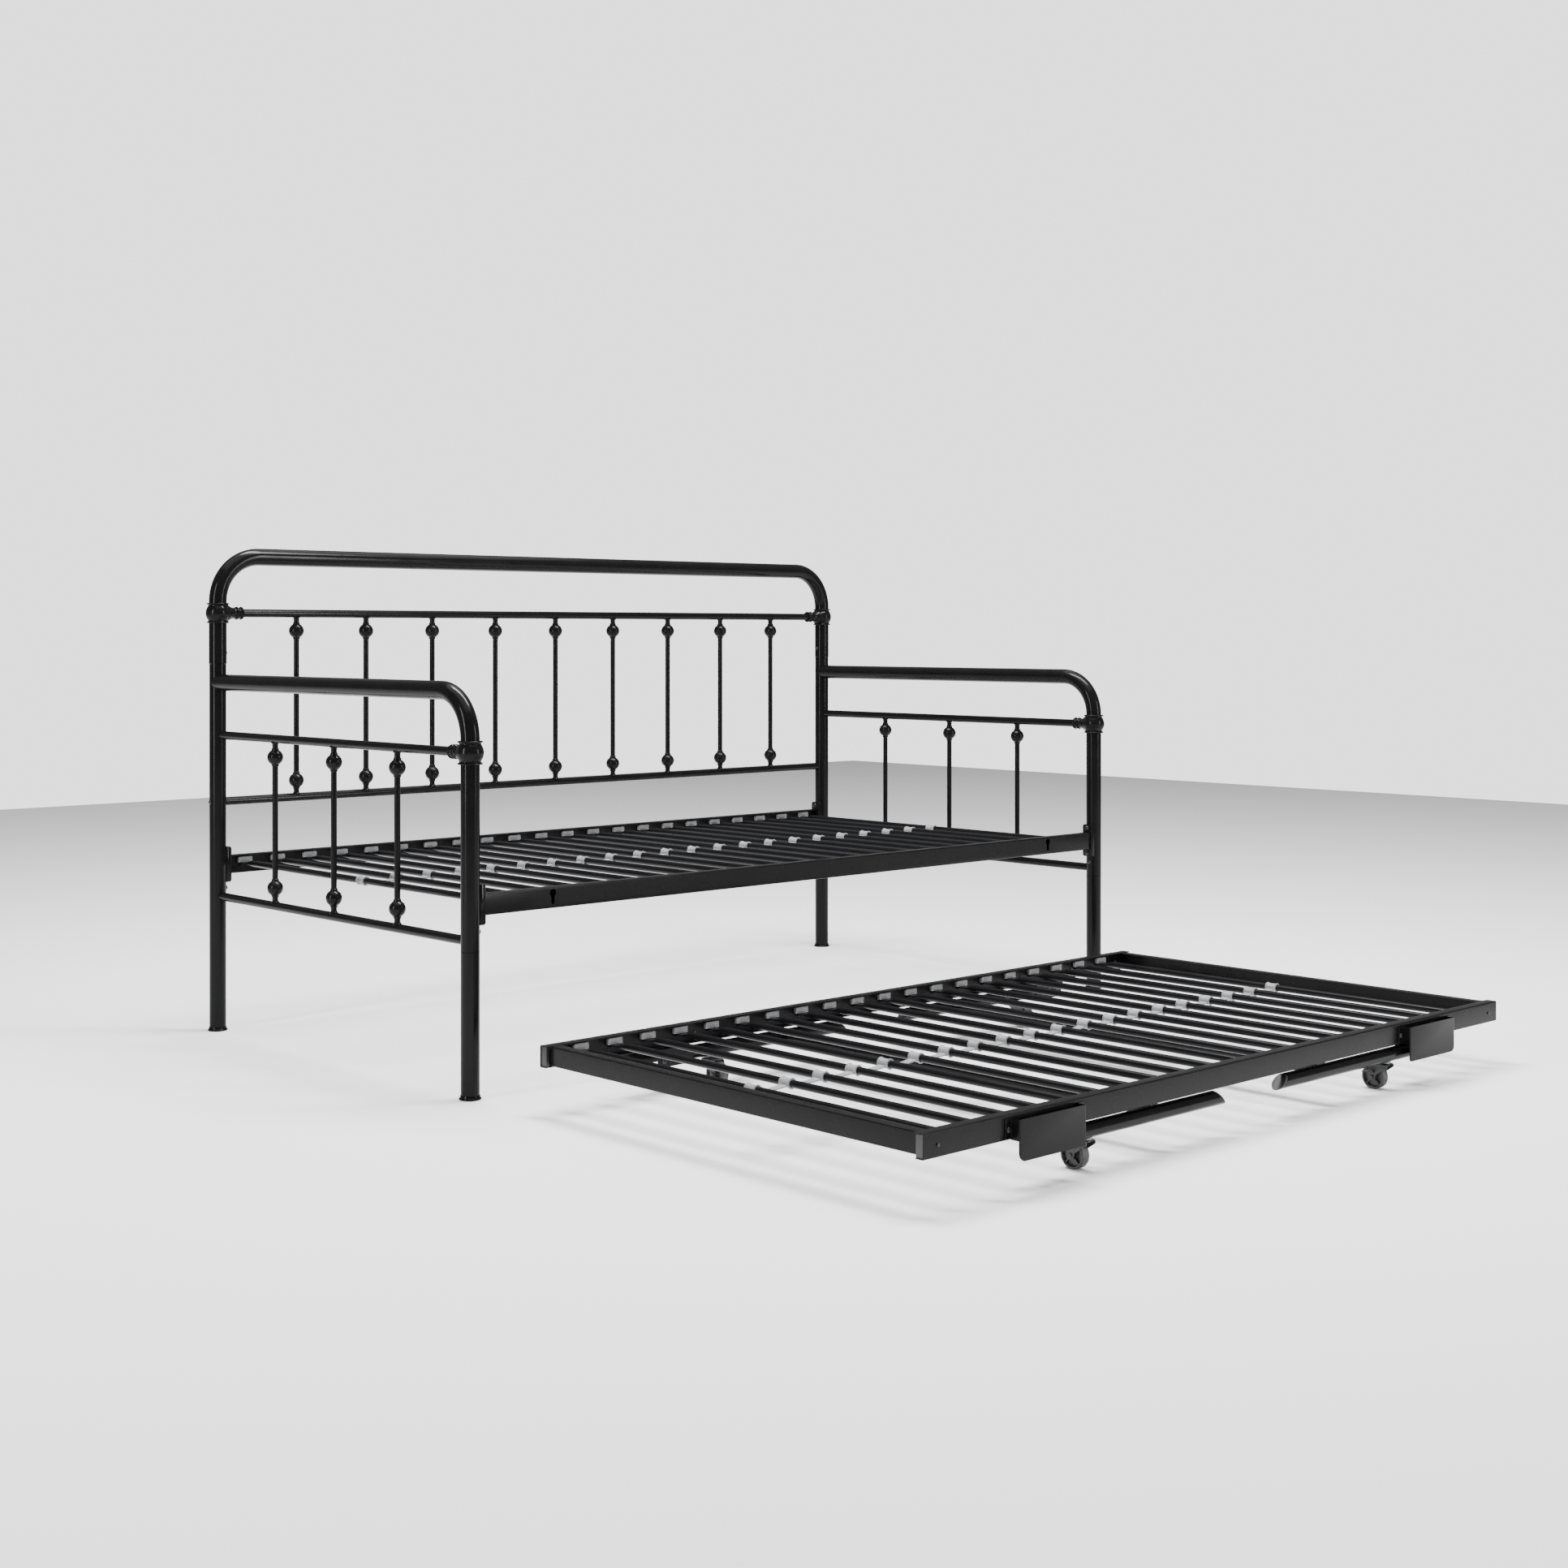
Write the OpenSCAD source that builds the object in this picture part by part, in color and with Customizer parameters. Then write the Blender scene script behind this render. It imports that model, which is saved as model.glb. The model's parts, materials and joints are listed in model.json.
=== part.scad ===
// Steel daybed with a pop-up trundle. +Z is up, +X runs along the length and -Y is the front.
// The origin is on the floor, at the middle of the box that holds the daybed and the pulled-out trundle.

/* [Daybed frame] */
// Distance between the post axes along the length
bed_l = 1950; // [1600:1:2400]
// Distance between the post axes from front to back
bed_w = 1012; // [820:1:1300]
// Outer diameter of the posts and of the arm tubes
post_d = 38; // [30:0.5:46]
// Outer diameter of the back panel's top tube
back_tube_d = 40; // [32:0.5:48]
// Wall of all frame tubes
tube_wall = 1.5; // [1:0.1:2.5]
// Height of the arm's top tube, at its axis
arm_top_z = 805.5; // [660:0.5:1000]
// Rise of the back's top tube over the arm's top tube
back_rise = 292.5; // [240:0.5:400]
// Bend radius of the back's top corners
back_bend_r = 105; // [80:1:140]
// Bend radius of the arm's front corner
arm_bend_r = 98; // [75:1:120]
// Height of the joint between a post and its screw-on leg
leg_seam_z = 291; // [240:1:300]
// Sleeve joint of the back panel, above the arm's top tube axis
back_seam_rise = 42.5; // [30:0.5:60]
// Length of the spigots inside the sleeve joints
spigot_l = 52; // [30:1:80]

/* [Rails, spindles and balls] */
// Diameter of the small horizontal rails
rail_d = 19; // [16:0.5:24]
// Drop from the back's top tube to its upper small rail
back_rail_drop = 132; // [110:1:160]
// Drop from the arm's top tube to its upper small rail
arm_rail_drop = 121.5; // [100:0.5:150]
// Height of the back's lower small rail
back_lower_z = 529; // [450:1:640]
// Height of the arms' lower small rails
arm_lower_z = 311.5; // [302:0.5:330]
// Diameter of the spindles
spindle_d = 12.7; // [10:0.1:15]
// Number of spindles in the back
back_spindle_n = 9; // [5:1:13]
// Distance between the back's spindles
back_spindle_pitch = 192.3; // [120:0.1:200]
// Number of spindles in each arm
arm_spindle_n = 3; // [2:1:5]
// Distance between an arm's spindles
arm_spindle_pitch = 246; // [150:1:250]
// Diameter of the balls on the spindles
ball_d = 35; // [28:0.5:42]
// Distance from the upper rail's axis down to the upper balls
ball_drop = 41; // [34:0.5:50]
// Distance from the lower rail's axis up to the lower balls
ball_rise = 40; // [34:0.5:50]

/* [Corner castings] */
// Diameter of the ball body
casting_d = 54; // [50:0.5:66]
// Overall height of the casting
casting_h = 47; // [40:0.5:56]
// Diameter of the flared rings at its top and bottom
casting_ring_d = 49; // [47:0.5:60]
// Reach of the side neck from the post axis
casting_reach = 62; // [52:1:75]

/* [Side rails] */
// Top of the side rails
side_rail_z = 404; // [385:1:440]
// Height of the side rails
side_rail_h = 43; // [36:0.5:52]
// Width of the side rail's top flange
side_flange_w = 20; // [17:0.5:25]
// Thickness of the rolled steel
sheet_t = 2; // [1.5:0.1:2.5]
// Distance from a post axis out to the rail's outer face
side_rail_out = 10; // [6:0.5:14]
// Height of the end plates
end_plate_h = 81; // [75:1:98]
// Width of the end plates
end_plate_w = 28; // [24:0.5:34]
// Thickness of the end plates
end_plate_t = 4; // [3:0.1:6]
// Diameter of the bolts in the end plates
frame_bolt_d = 8; // [6:0.5:10]
// Distance from a post axis to the keyhole
keyhole_x = 196; // [150:1:240]
// Diameter of the keyhole's round part
keyhole_d = 16; // [13:0.5:19]
// Width of the keyhole's slot
keyhole_slot_w = 8.5; // [7:0.1:10]
// Height of the whole keyhole
keyhole_h = 31; // [26:0.5:33]

/* [Slats] */
// Diameter of the slats
slat_d = 14.5; // [12:0.5:17.5]
// Wall of the slats
slat_wall = 1; // [0.8:0.1:1.5]
// Number of slats in the daybed
bed_slat_n = 22; // [14:1:26]
// Distance between the daybed's slats
bed_slat_pitch = 86; // [60:0.5:90]
// Number of slats in the trundle
trundle_slat_n = 20; // [12:1:22]
// Distance from a trundle end to the first slat
trundle_slat_margin = 93; // [80:0.5:120]
// Drop from the rail's top to the slat axis
slat_drop = 20.5; // [18:0.5:23]
// Length of the flattened end of a slat
slat_flat_l = 30; // [20:1:40]
// Width of the flattened end
slat_flat_w = 24; // [20:0.5:28]
// Thickness of the flattened end
slat_flat_t = 2.8; // [2.2:0.1:3.4]
// Width of the plastic plug over a slat's end
plug_w = 36; // [30:0.5:42]
// Height of the plastic plug
plug_h = 13; // [10:0.5:14]
// Thickness of the plastic plug
plug_t = 7; // [5:0.5:9]
// Outer diameter of a clip of the centre strap
clip_d = 20; // [18.5:0.5:24]
// Length of a clip along its slat
clip_l = 27; // [20:1:34]
// Width of the strap between its clips
strap_w = 20; // [14:1:24]
// Thickness of the strap
strap_t = 3; // [2:0.5:4]

/* [Trundle frame] */
// Distance from the daybed's front post axes to the pulled-out trundle's front face
trundle_out = 1203; // [1100:1:1500]
// Overall width of the trundle, front to back
trundle_w = 1003; // [830:1:1060]
// Gap between the trundle's left end and the left posts
trundle_gap_left = 3; // [2:0.5:6]
// Gap between the trundle's right end and the right posts
trundle_gap_right = 119; // [60:1:150]
// Top of the trundle's rails
trundle_z = 132; // [128:0.5:140]
// Height of the long rails
trundle_rail_h = 42; // [36:0.5:46]
// Width of the rails' top flange
trundle_flange_w = 22.5; // [20:0.5:24]
// Width of the rails' bottom flange
trundle_lip_w = 18; // [12:0.5:20]
// Distance from a trundle end to the end rail's outer face
end_rail_inset = 10; // [6:0.5:16]

/* [Leg brackets] */
// Length of the bracket's outer plate
bracket_l = 172; // [150:1:206]
// Height of the bracket's outer plate
bracket_h = 69; // [60:0.5:72]
// Distance from the rail's face to the bracket's outer face
bracket_depth = 20; // [18:0.5:24]
// Distance from a trundle end to the bracket's near edge
bracket_x = 208; // [170:1:250]
// Drop from the rail's top to the bracket's top
bracket_drop = 7; // [5:0.5:10]
// Radius of the bracket's outer lower corner
bracket_corner_r = 16; // [10:0.5:19]
// Width of the bolted flanges
bracket_flange_w = 15; // [13:0.5:20]

/* [Folding legs] */
// Diameter of the leg tubes
leg_d = 28; // [24:0.5:28.5]
// Distance from the bracket's near edge to the pivot
pivot_x = 107; // [90:1:120]
// Distance from the rail's outer face to the leg axis
leg_in = 11; // [8:0.5:12]
// Gap between the rail's bottom and the folded leg
leg_gap = 5; // [4.5:0.1:6]
// Distance from the pivot to the middle of the slanted foot
leg_l = 482; // [400:1:500]
// Largest radius of the tube's rounded end about the pivot
leg_end_r = 17; // [15:0.5:18]
// Distance from the pivot to the cross tube that joins two legs
cross_x = 313; // [240:1:340]
// Diameter of the cross tube
cross_d = 25; // [20:0.5:27]
// Diameter of the pivot bolt
pivot_d = 8; // [6:0.5:10]
// Opening angle of the leg
leg_angle = 135; // [125:1:145]

/* [Casters] */
// Distance from the leg's pivot to the caster's stem
caster_x = 104; // [88:1:126]
// Wheel diameter
wheel_d = 50; // [42:0.5:52]
// Wheel width
wheel_w = 20; // [16:0.5:24]
// Distance from the stem axis to the wheel axle
caster_trail = 26; // [22:0.5:31]
// Diameter of the axle
axle_d = 6; // [5:0.5:8]
// Diameter of the caster's stem
stem_d = 8; // [6:0.5:10]
// Thickness of the fork's plates
fork_t = 2; // [1.5:0.1:2.5]
// Length of the brake pedal outside the fork
pedal_l = 24; // [16:1:30]

/* [Clearances] */
// Gap between welded or coped pieces
weld_gap = 0.1; // [0.05:0.05:0.3]
// Radial gap of a running fit
run_gap = 0.05; // [0.02:0.01:0.1]
// Radial gap of a sleeve joint or a bolt in its hole
fit_gap = 0.3; // [0.2:0.05:0.5]

/* [Hidden] */
$fn = 64;
eps = 1;                                   // overrun of a cutting tool
paint = "#2b2b2d";
grey = "#a9abad";
dark = "#3a3a3c";
steel = "#8a8c90";

post_r = post_d / 2;
back_r = back_tube_d / 2;
rail_r = rail_d / 2;
slat_r = slat_d / 2;
leg_r = leg_d / 2;
post_x = bed_l / 2;
back_top_z = arm_top_z + back_rise;
back_upper_z = back_top_z - back_rail_drop;
back_seam_z = arm_top_z + back_seam_rise;
arm_upper_z = arm_top_z - arm_rail_drop;
front_y = (trundle_out + bracket_depth - bed_w - casting_d / 2) / 2;
back_y = front_y + bed_w;

foot_d = post_d + 7;                       // flared foot
foot_h = 9;
foot_floor = 3;
saddle_t = 5;                              // saddle between post and end plate
side_rail_end = post_x - post_r - saddle_t - end_plate_t;
end_plate_z = side_rail_z - side_rail_h / 2 + 1;
bolt_dz = end_plate_h / 2 - 9;             // frame bolts above and below the rail
bolt_head = 1.6;                           // a bolt head's diameter over its shank's
seam_bolt_d = 6;
lower_bolt_d = 6;
lower_bolt_l = 2 * post_r + 20;            // from a post's outer side into the back's lower rail
saddle_in = 5;                             // how far a saddle reaches round its post
keyhole_top = 4;                           // rail's top to the keyhole
keyhole_cover_w = keyhole_d + 18;          // folded cover behind a keyhole
keyhole_cover_t = 1.2;
leg_bolt_z = leg_seam_z + 38;

bed_slat_z = side_rail_z - slat_drop;
bed_face_front = front_y - side_rail_out;
bed_face_back = back_y + side_rail_out;
bed_slat_xs = [for (i = [0:bed_slat_n - 1]) (i - (bed_slat_n - 1) / 2) * bed_slat_pitch];
ledge_w = slat_flat_w;                     // ledge under a slat's flat end
ledge_l = 7;

trundle_x0 = -post_x + post_r + trundle_gap_left;
trundle_x1 = post_x - post_r - trundle_gap_right;
trundle_l = trundle_x1 - trundle_x0;
trundle_mid = (trundle_x0 + trundle_x1) / 2;
trundle_y0 = front_y - trundle_out;
trundle_y1 = trundle_y0 + trundle_w;
trundle_bottom = trundle_z - trundle_rail_h;
trundle_slat_z = trundle_z - slat_drop;
trundle_slat_pitch = (trundle_l - 2 * trundle_slat_margin) / (trundle_slat_n - 1);
trundle_slat_xs = [for (i = [0:trundle_slat_n - 1])
    trundle_x0 + trundle_slat_margin + i * trundle_slat_pitch];

leg_z = trundle_bottom - leg_gap - leg_r;
guard_bolt_d = 6;
guard_bolt_clear = max(plug_w, ledge_w) / 2 + bolt_head * guard_bolt_d / 2;
guard_bolt_dxs = [-bracket_flange_w / 2, bracket_l + bracket_flange_w / 2];
// Whether a bracket at this distance from the trundle's end has its bolts clear of the slats
function bolts_clear(at) = min([for (x = trundle_slat_xs, b = guard_bolt_dxs)
    abs(trundle_x0 + at + b - x)]) >= guard_bolt_clear;
// The clear place nearest to a wanted one, looked for in steps of 1 on both sides
function clear_place(at, step = 0) =
    bolts_clear(at + step) ? at + step :
    bolts_clear(at - step) || step > trundle_slat_pitch ? at - step : clear_place(at, step + 1);
bracket_at = clear_place(bracket_x);
leg_pivot_x = bracket_at + pivot_x;
foot_t = 3;                                // tread of the foot plug
foot_reach = 10;                           // plug inside the tube

// The bracket's places are about the leg's pivot, with -Y to the outside
bracket_t = 2;
rail_face = -leg_in;
rail_low = leg_gap + leg_r;
guard_y = rail_face - bracket_depth;
guard_top = trundle_z - bracket_drop - leg_z;
guard_small_r = 6;
guard_bolt_xs = [for (b = guard_bolt_dxs) b - pivot_x];
guard_bolt_z = (rail_low + guard_top) / 2;
pivot_plate_l = 90;
pivot_plate_y = leg_r + 1;
tab_l = 22;
stop_d = 8;
stop_s = 24;                               // stop pin's place along the opened leg
stop_gap = 0.3;

wheel_r = wheel_d / 2;
wheel_z = wheel_r - leg_z;                 // wheel axle below the leg axis
stem_collar_h = 2;
stem_reach = 12;                           // stem inside the leg
fork_gap = 0.6;                            // between stem collar and fork crown
crown_z = -leg_r - stem_collar_h - fork_gap;
fork_in = wheel_w / 2 + 1;                 // fork cheek's inner face from the wheel's middle
hub_w = 2 * fork_in - 0.8;
tread_edge = 1.5;
disc_t = 6;
pedal_w = 9;
pedal_pin_d = 2.4;
pedal_x = fork_in + fork_t + 3;
pedal_z = wheel_z + 13;

corner_dz = 5;                             // corner tabs of the trundle's end rails
corner_tab_l = 34;
corner_tab_h = 30;
corner_bolt_d = 6;
corner_bolt_x = corner_tab_l - 11;

// ---------- shared shapes ----------

// Tube along +Z from the origin
module pipe(r, wall, len) {
    difference() {
        cylinder(h = len, r = r);
        translate([0, 0, -eps]) cylinder(h = len + 2 * eps, r = r - wall);
    }
}

// Quarter bend that leaves the origin along +Z and ends along +X
module elbow(r, wall, bend_r) {
    translate([bend_r, 0, 0]) mirror([1, 0, 0]) rotate([90, 0, 0])
        rotate_extrude(angle = 90) translate([bend_r, 0]) difference() {
            circle(r = r);
            circle(r = r - wall);
        }
}

// Cylinder of radius r along X, Y or Z, centred at the origin
module rod_x(r, len) { rotate([0, 90, 0]) cylinder(h = len, r = r, center = true); }
module rod_y(r, len) { rotate([90, 0, 0]) cylinder(h = len, r = r, center = true); }
module rod_z(r, len) { cylinder(h = len, r = r, center = true); }

// Bolt along +X: the head's inner face is at the origin and the shank goes to +X
module bolt(d, len) {
    head_r = bolt_head * d / 2;
    rotate([0, 90, 0]) cylinder(h = len, r = d / 2);
    rotate([0, -90, 0]) cylinder(h = 0.3 * d, r = head_r);
    translate([-0.3 * d, 0, 0]) rotate([0, -90, 0]) cylinder(h = 0.2 * d, r1 = head_r, r2 = 0.7 * head_r);
}

// Everything that takes up the back post on one side and the tube sleeved on it, swollen by a gap
module back_post_space(side, gap) {
    translate([side * post_x, back_y, 0]) cylinder(h = back_seam_z, r = post_r + gap);
    translate([side * post_x, back_y, back_seam_z]) cylinder(h = back_rise, r = back_r + gap);
}

// Rolled channel along X: its web stands at y = 0 and its flanges reach to +Y
module channel(len, h, top_w, lip_w, t) {
    cube([len, t, h]);
    translate([0, 0, h - t]) cube([len, top_w, t]);
    cube([len, lip_w, t]);
}

// Ledges on the web's inner face, one under each slat's flat end
module ledges(xs, slat_z) {
    for (x = xs)
        translate([x - ledge_w / 2, sheet_t - 0.5, slat_z - slat_flat_t - sheet_t])
            cube([ledge_w, ledge_l, sheet_t]);
}

// Slats along Y between two webs whose outer faces are at y0 and y1
module slats(xs, y0, y1, z) {
    round_l = y1 - y0 - 2 * (sheet_t + slat_flat_l);
    for (x = xs) translate([x, (y0 + y1) / 2, z]) {
        difference() {
            rod_y(slat_r, round_l);
            rod_y(slat_r - slat_wall, round_l - 2 * slat_wall);
        }
        for (s = [-1, 1])
            translate([-slat_flat_w / 2, s * (round_l + slat_flat_l) / 2 - slat_flat_l / 2, -slat_flat_t])
                translate([0, s * -fit_gap, 0]) cube([slat_flat_w, slat_flat_l, slat_flat_t]);
    }
}

// Plastic plugs that hold the slats' flat ends on their ledges
module slat_plugs(xs, y0, y1, z) {
    for (x = xs) {
        translate([x - plug_w / 2, y0 + sheet_t, z + fit_gap]) cube([plug_w, plug_t, plug_h]);
        translate([x - plug_w / 2, y1 - sheet_t - plug_t, z + fit_gap]) cube([plug_w, plug_t, plug_h]);
    }
}

// Centre strap: a clip round each slat and a low link between neighbours
module slat_strap(xs, y, z) {
    pitch = xs[1] - xs[0];
    difference() {
        union() {
            for (x = xs) translate([x, y, z]) rod_y(clip_d / 2, clip_l);
            for (i = [0:len(xs) - 2])
                translate([xs[i] + slat_r, y - strap_w / 2, z - clip_d / 4 - strap_t / 2])
                    cube([pitch - slat_d, strap_w, strap_t]);
        }
        for (x = xs) translate([x, y, z]) rod_y(slat_r + run_gap, clip_l + 2 * eps);
    }
}

// ---------- daybed: back panel ----------

module back_panel_tube() color(paint) difference() {
    union() {
        for (s = [0, 1]) mirror([s, 0, 0]) {
            translate([-post_x, back_y, back_seam_z])
                pipe(back_r, tube_wall, back_top_z - back_bend_r - back_seam_z);
            translate([-post_x, back_y, back_top_z - back_bend_r]) elbow(back_r, tube_wall, back_bend_r);
        }
        translate([-post_x + back_bend_r, back_y, back_top_z])
            rotate([0, 90, 0]) pipe(back_r, tube_wall, 2 * (post_x - back_bend_r));
    }
    for (s = [-1, 1]) translate([s * post_x, back_y, back_seam_z + spigot_l / 2])
        rod_x(seam_bolt_d / 2 + fit_gap, 3 * back_r);
}

// Straight rail along X at the back, coped to the posts or to the tube sleeved on them
module back_rail(z) color(paint) difference() {
    translate([-post_x, back_y, z]) rotate([0, 90, 0]) pipe(rail_r, tube_wall, bed_l);
    for (s = [-1, 1]) back_post_space(s, weld_gap);
    if (z == back_lower_z)
        for (s = [-1, 1]) translate([s * post_x, back_y, z])
            rod_x(lower_bolt_d / 2 + fit_gap, 2 * lower_bolt_l);
}

module back_upper_rail() back_rail(back_upper_z);
module back_lower_rail() back_rail(back_lower_z);

// Upright rod between two rails, coped to both
module spindle(z0, z1, along_x) color(paint) difference() {
    translate([0, 0, z0]) pipe(spindle_d / 2, tube_wall, z1 - z0);
    for (z = [z0, z1]) translate([0, 0, z]) {
        if (along_x) rod_x(rail_r + weld_gap, 3 * spindle_d);
        else rod_y(rail_r + weld_gap, 3 * spindle_d);
    }
}

back_spindle_xs = [for (i = [0:back_spindle_n - 1]) (i - (back_spindle_n - 1) / 2) * back_spindle_pitch];
arm_spindle_ys = [for (i = [0:arm_spindle_n - 1])
    (front_y + back_y) / 2 + (i - (arm_spindle_n - 1) / 2) * arm_spindle_pitch];

module back_spindles()
    for (x = back_spindle_xs) translate([x, back_y, 0]) spindle(back_lower_z, back_upper_z, true);

module arm_spindles()
    for (s = [-1, 1], y = arm_spindle_ys)
        translate([s * post_x, y, 0]) spindle(arm_lower_z, arm_upper_z, false);

module ball() color(paint) difference() {
    sphere(d = ball_d);
    rod_z(spindle_d / 2 + weld_gap, ball_d + 2 * eps);
}

module spindle_balls() {
    for (x = back_spindle_xs, z = [back_lower_z + ball_rise, back_upper_z - ball_drop])
        translate([x, back_y, z]) ball();
    for (s = [-1, 1], y = arm_spindle_ys, z = [arm_lower_z + ball_rise, arm_upper_z - ball_drop])
        translate([s * post_x, y, z]) ball();
}

// ---------- daybed: arms, posts and legs ----------

// Front post, bend and top rail of one arm, in one tube; side is -1 for left and 1 for right
module arm_tube(side) color(paint) difference() {
    union() {
        translate([side * post_x, front_y, leg_seam_z])
            pipe(post_r, tube_wall, arm_top_z - arm_bend_r - leg_seam_z);
        translate([side * post_x, front_y, arm_top_z - arm_bend_r])
            rotate([0, 0, 90]) elbow(post_r, tube_wall, arm_bend_r);
        translate([side * post_x, front_y + arm_bend_r, arm_top_z])
            rotate([-90, 0, 0]) pipe(post_r, tube_wall, bed_w - arm_bend_r);
    }
    back_post_space(side, weld_gap);
    translate([side * post_x, front_y, 0]) post_bolt_holes(side);
}

// Holes through a post's inner wall for the side rail's bolts and the leg's bolt
module post_bolt_holes(side) {
    for (z = [end_plate_z - bolt_dz, end_plate_z + bolt_dz, leg_bolt_z])
        translate([-side * post_r, 0, z]) rod_x(frame_bolt_d / 2 + fit_gap, post_r);
}

// Post with a reduced spigot at its top that the back panel's tube slides over
module back_post(side) color(paint) translate([side * post_x, back_y, 0]) difference() {
    union() {
        translate([0, 0, leg_seam_z]) pipe(post_r, tube_wall, back_seam_z - leg_seam_z);
        spigot(back_seam_z, post_r, back_r - tube_wall - fit_gap);
    }
    post_bolt_holes(side);
    translate([0, 0, back_seam_z + spigot_l / 2]) rod_x(seam_bolt_d / 2 + fit_gap, 3 * post_r);
    translate([0, 0, back_lower_z]) rod_x(lower_bolt_d / 2 + fit_gap, 3 * post_r);
}

// Spigot above a joint at height z: a collar inside the lower tube carries a thinner tube
module spigot(z, tube_r, outer_r) {
    collar = 6;
    translate([0, 0, z - collar]) difference() {
        cylinder(h = collar, r = tube_r);
        translate([0, 0, -eps]) cylinder(h = collar + 2 * eps, r = outer_r - tube_wall);
    }
    translate([0, 0, z - collar]) pipe(outer_r, tube_wall, spigot_l + collar);
}

module left_arm_tube() arm_tube(-1);
module right_arm_tube() arm_tube(1);
module left_back_post() back_post(-1);
module right_back_post() back_post(1);

// Upper and lower small rails of both arms
module arm_rails() for (side = [-1, 1], z = [arm_upper_z, arm_lower_z]) color(paint) difference() {
    translate([side * post_x, front_y, z]) rotate([-90, 0, 0]) pipe(rail_r, tube_wall, bed_w);
    back_post_space(side, weld_gap);
    translate([side * post_x, front_y, 0]) cylinder(h = arm_top_z, r = post_r + weld_gap);
}

// Casting on a post, with its neck along +X round a small rail
module casting(tube_r) {
    ring_t = 3;
    ring_lip = 2;
    sleeve_r = max(casting_ring_d / 2 - ring_lip, tube_r + 2.5);
    ball_r = max(casting_d / 2, sleeve_r + 4.5);
    neck_r = rail_r + 2.5;
    cone_r = min(ball_r - 4, casting_h / 2 - 0.5);
    color(paint) difference() {
        union() {
            intersection() {
                sphere(r = ball_r);
                rod_z(2 * ball_r, casting_h - 2 * ring_t);
            }
            rod_z(sleeve_r, casting_h - ring_t);
            for (z = [-casting_h / 2, casting_h / 2 - ring_t])
                translate([0, 0, z]) cylinder(h = ring_t, r = sleeve_r + ring_lip);
            rotate([0, 90, 0]) cylinder(h = casting_reach, r = neck_r);
            rotate([0, 90, 0]) cylinder(h = casting_reach - 22, r1 = cone_r, r2 = neck_r);
            for (x = [casting_reach - 17, casting_reach - 5])
                translate([x, 0, 0]) rotate([0, 90, 0]) cylinder(h = 5, r = neck_r + 3);
        }
        rod_z(tube_r + weld_gap, casting_h + 2 * eps);
        rotate([0, 90, 0]) cylinder(h = casting_reach + eps, r = rail_r + weld_gap);
    }
}

module corner_castings() {
    for (s = [0, 1]) mirror([s, 0, 0]) {
        translate([-post_x, back_y, back_upper_z]) casting(back_r);
        translate([-post_x, front_y, arm_upper_z]) rotate([0, 0, 90]) casting(post_r);
    }
}

module bed_legs()
    for (s = [-1, 1], y = [front_y, back_y]) translate([s * post_x, y, 0]) color(paint) difference() {
        union() {
            translate([0, 0, foot_floor]) pipe(post_r, tube_wall, leg_seam_z - foot_floor);
            spigot(leg_seam_z, post_r, post_r - tube_wall - fit_gap);
        }
        translate([-s * post_r, 0, leg_bolt_z]) rod_x(frame_bolt_d / 2 + fit_gap, post_r);
    }

// Flared steel foot with the leg standing in its cup
module bed_feet()
    for (s = [-1, 1], y = [front_y, back_y]) translate([s * post_x, y, 0]) color(paint) difference() {
        union() {
            cylinder(h = foot_h / 2, d = foot_d);
            translate([0, 0, foot_h / 2]) cylinder(h = foot_h / 2, d1 = foot_d, d2 = post_d + 2);
        }
        translate([0, 0, foot_floor - weld_gap]) cylinder(h = foot_h, r = post_r + weld_gap);
    }

// ---------- daybed: side rails and slats ----------

// Folded cover behind a keyhole, between the web and the edge of the top flange
module keyhole_cover() {
    x = -keyhole_cover_w / 2;
    z = side_rail_z - side_rail_h + sheet_t - 0.5;
    h = side_rail_h - 2 * sheet_t + 1;
    d = side_flange_w - sheet_t - 1;
    translate([x, sheet_t - 0.5, z]) cube([keyhole_cover_t, d, h]);
    translate([x + keyhole_cover_w - keyhole_cover_t, sheet_t - 0.5, z]) cube([keyhole_cover_t, d, h]);
    translate([x, d + sheet_t - 0.5 - keyhole_cover_t, z]) cube([keyhole_cover_w, keyhole_cover_t, h]);
}

// Side rail with its two welded end plates, with its web at y = 0
module side_rail(keyholes) color(paint) difference() {
    union() {
        translate([-side_rail_end, 0, side_rail_z - side_rail_h])
            channel(2 * side_rail_end, side_rail_h, side_flange_w, side_flange_w / 2, sheet_t);
        ledges(bed_slat_xs, bed_slat_z);
        if (keyholes) for (s = [-1, 1]) translate([s * (post_x - keyhole_x), 0, 0]) keyhole_cover();
        for (s = [-1, 1])
            translate([s * (side_rail_end + end_plate_t / 2), side_rail_out, end_plate_z])
                cube([end_plate_t, end_plate_w, end_plate_h], center = true);
    }
    if (keyholes) for (s = [-1, 1]) translate([s * (post_x - keyhole_x), 0, side_rail_z - keyhole_top]) {
        translate([0, 0, -keyhole_d / 2]) rod_y(keyhole_d / 2, 4 * sheet_t);
        translate([-keyhole_slot_w / 2, -2 * sheet_t, -keyhole_h + keyhole_slot_w / 2])
            cube([keyhole_slot_w, 4 * sheet_t, keyhole_h - keyhole_slot_w / 2 - keyhole_d / 2]);
        translate([0, 0, -keyhole_h + keyhole_slot_w / 2]) rod_y(keyhole_slot_w / 2, 4 * sheet_t);
    }
    for (s = [-1, 1], z = [-bolt_dz, bolt_dz])
        translate([s * side_rail_end, side_rail_out, end_plate_z + z])
            rod_x(frame_bolt_d / 2 + fit_gap, 20);
}
module front_side_rail() translate([0, bed_face_front, 0]) side_rail(true);
module back_side_rail() translate([0, bed_face_back, 0]) mirror([0, 1, 0]) side_rail(false);

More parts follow.
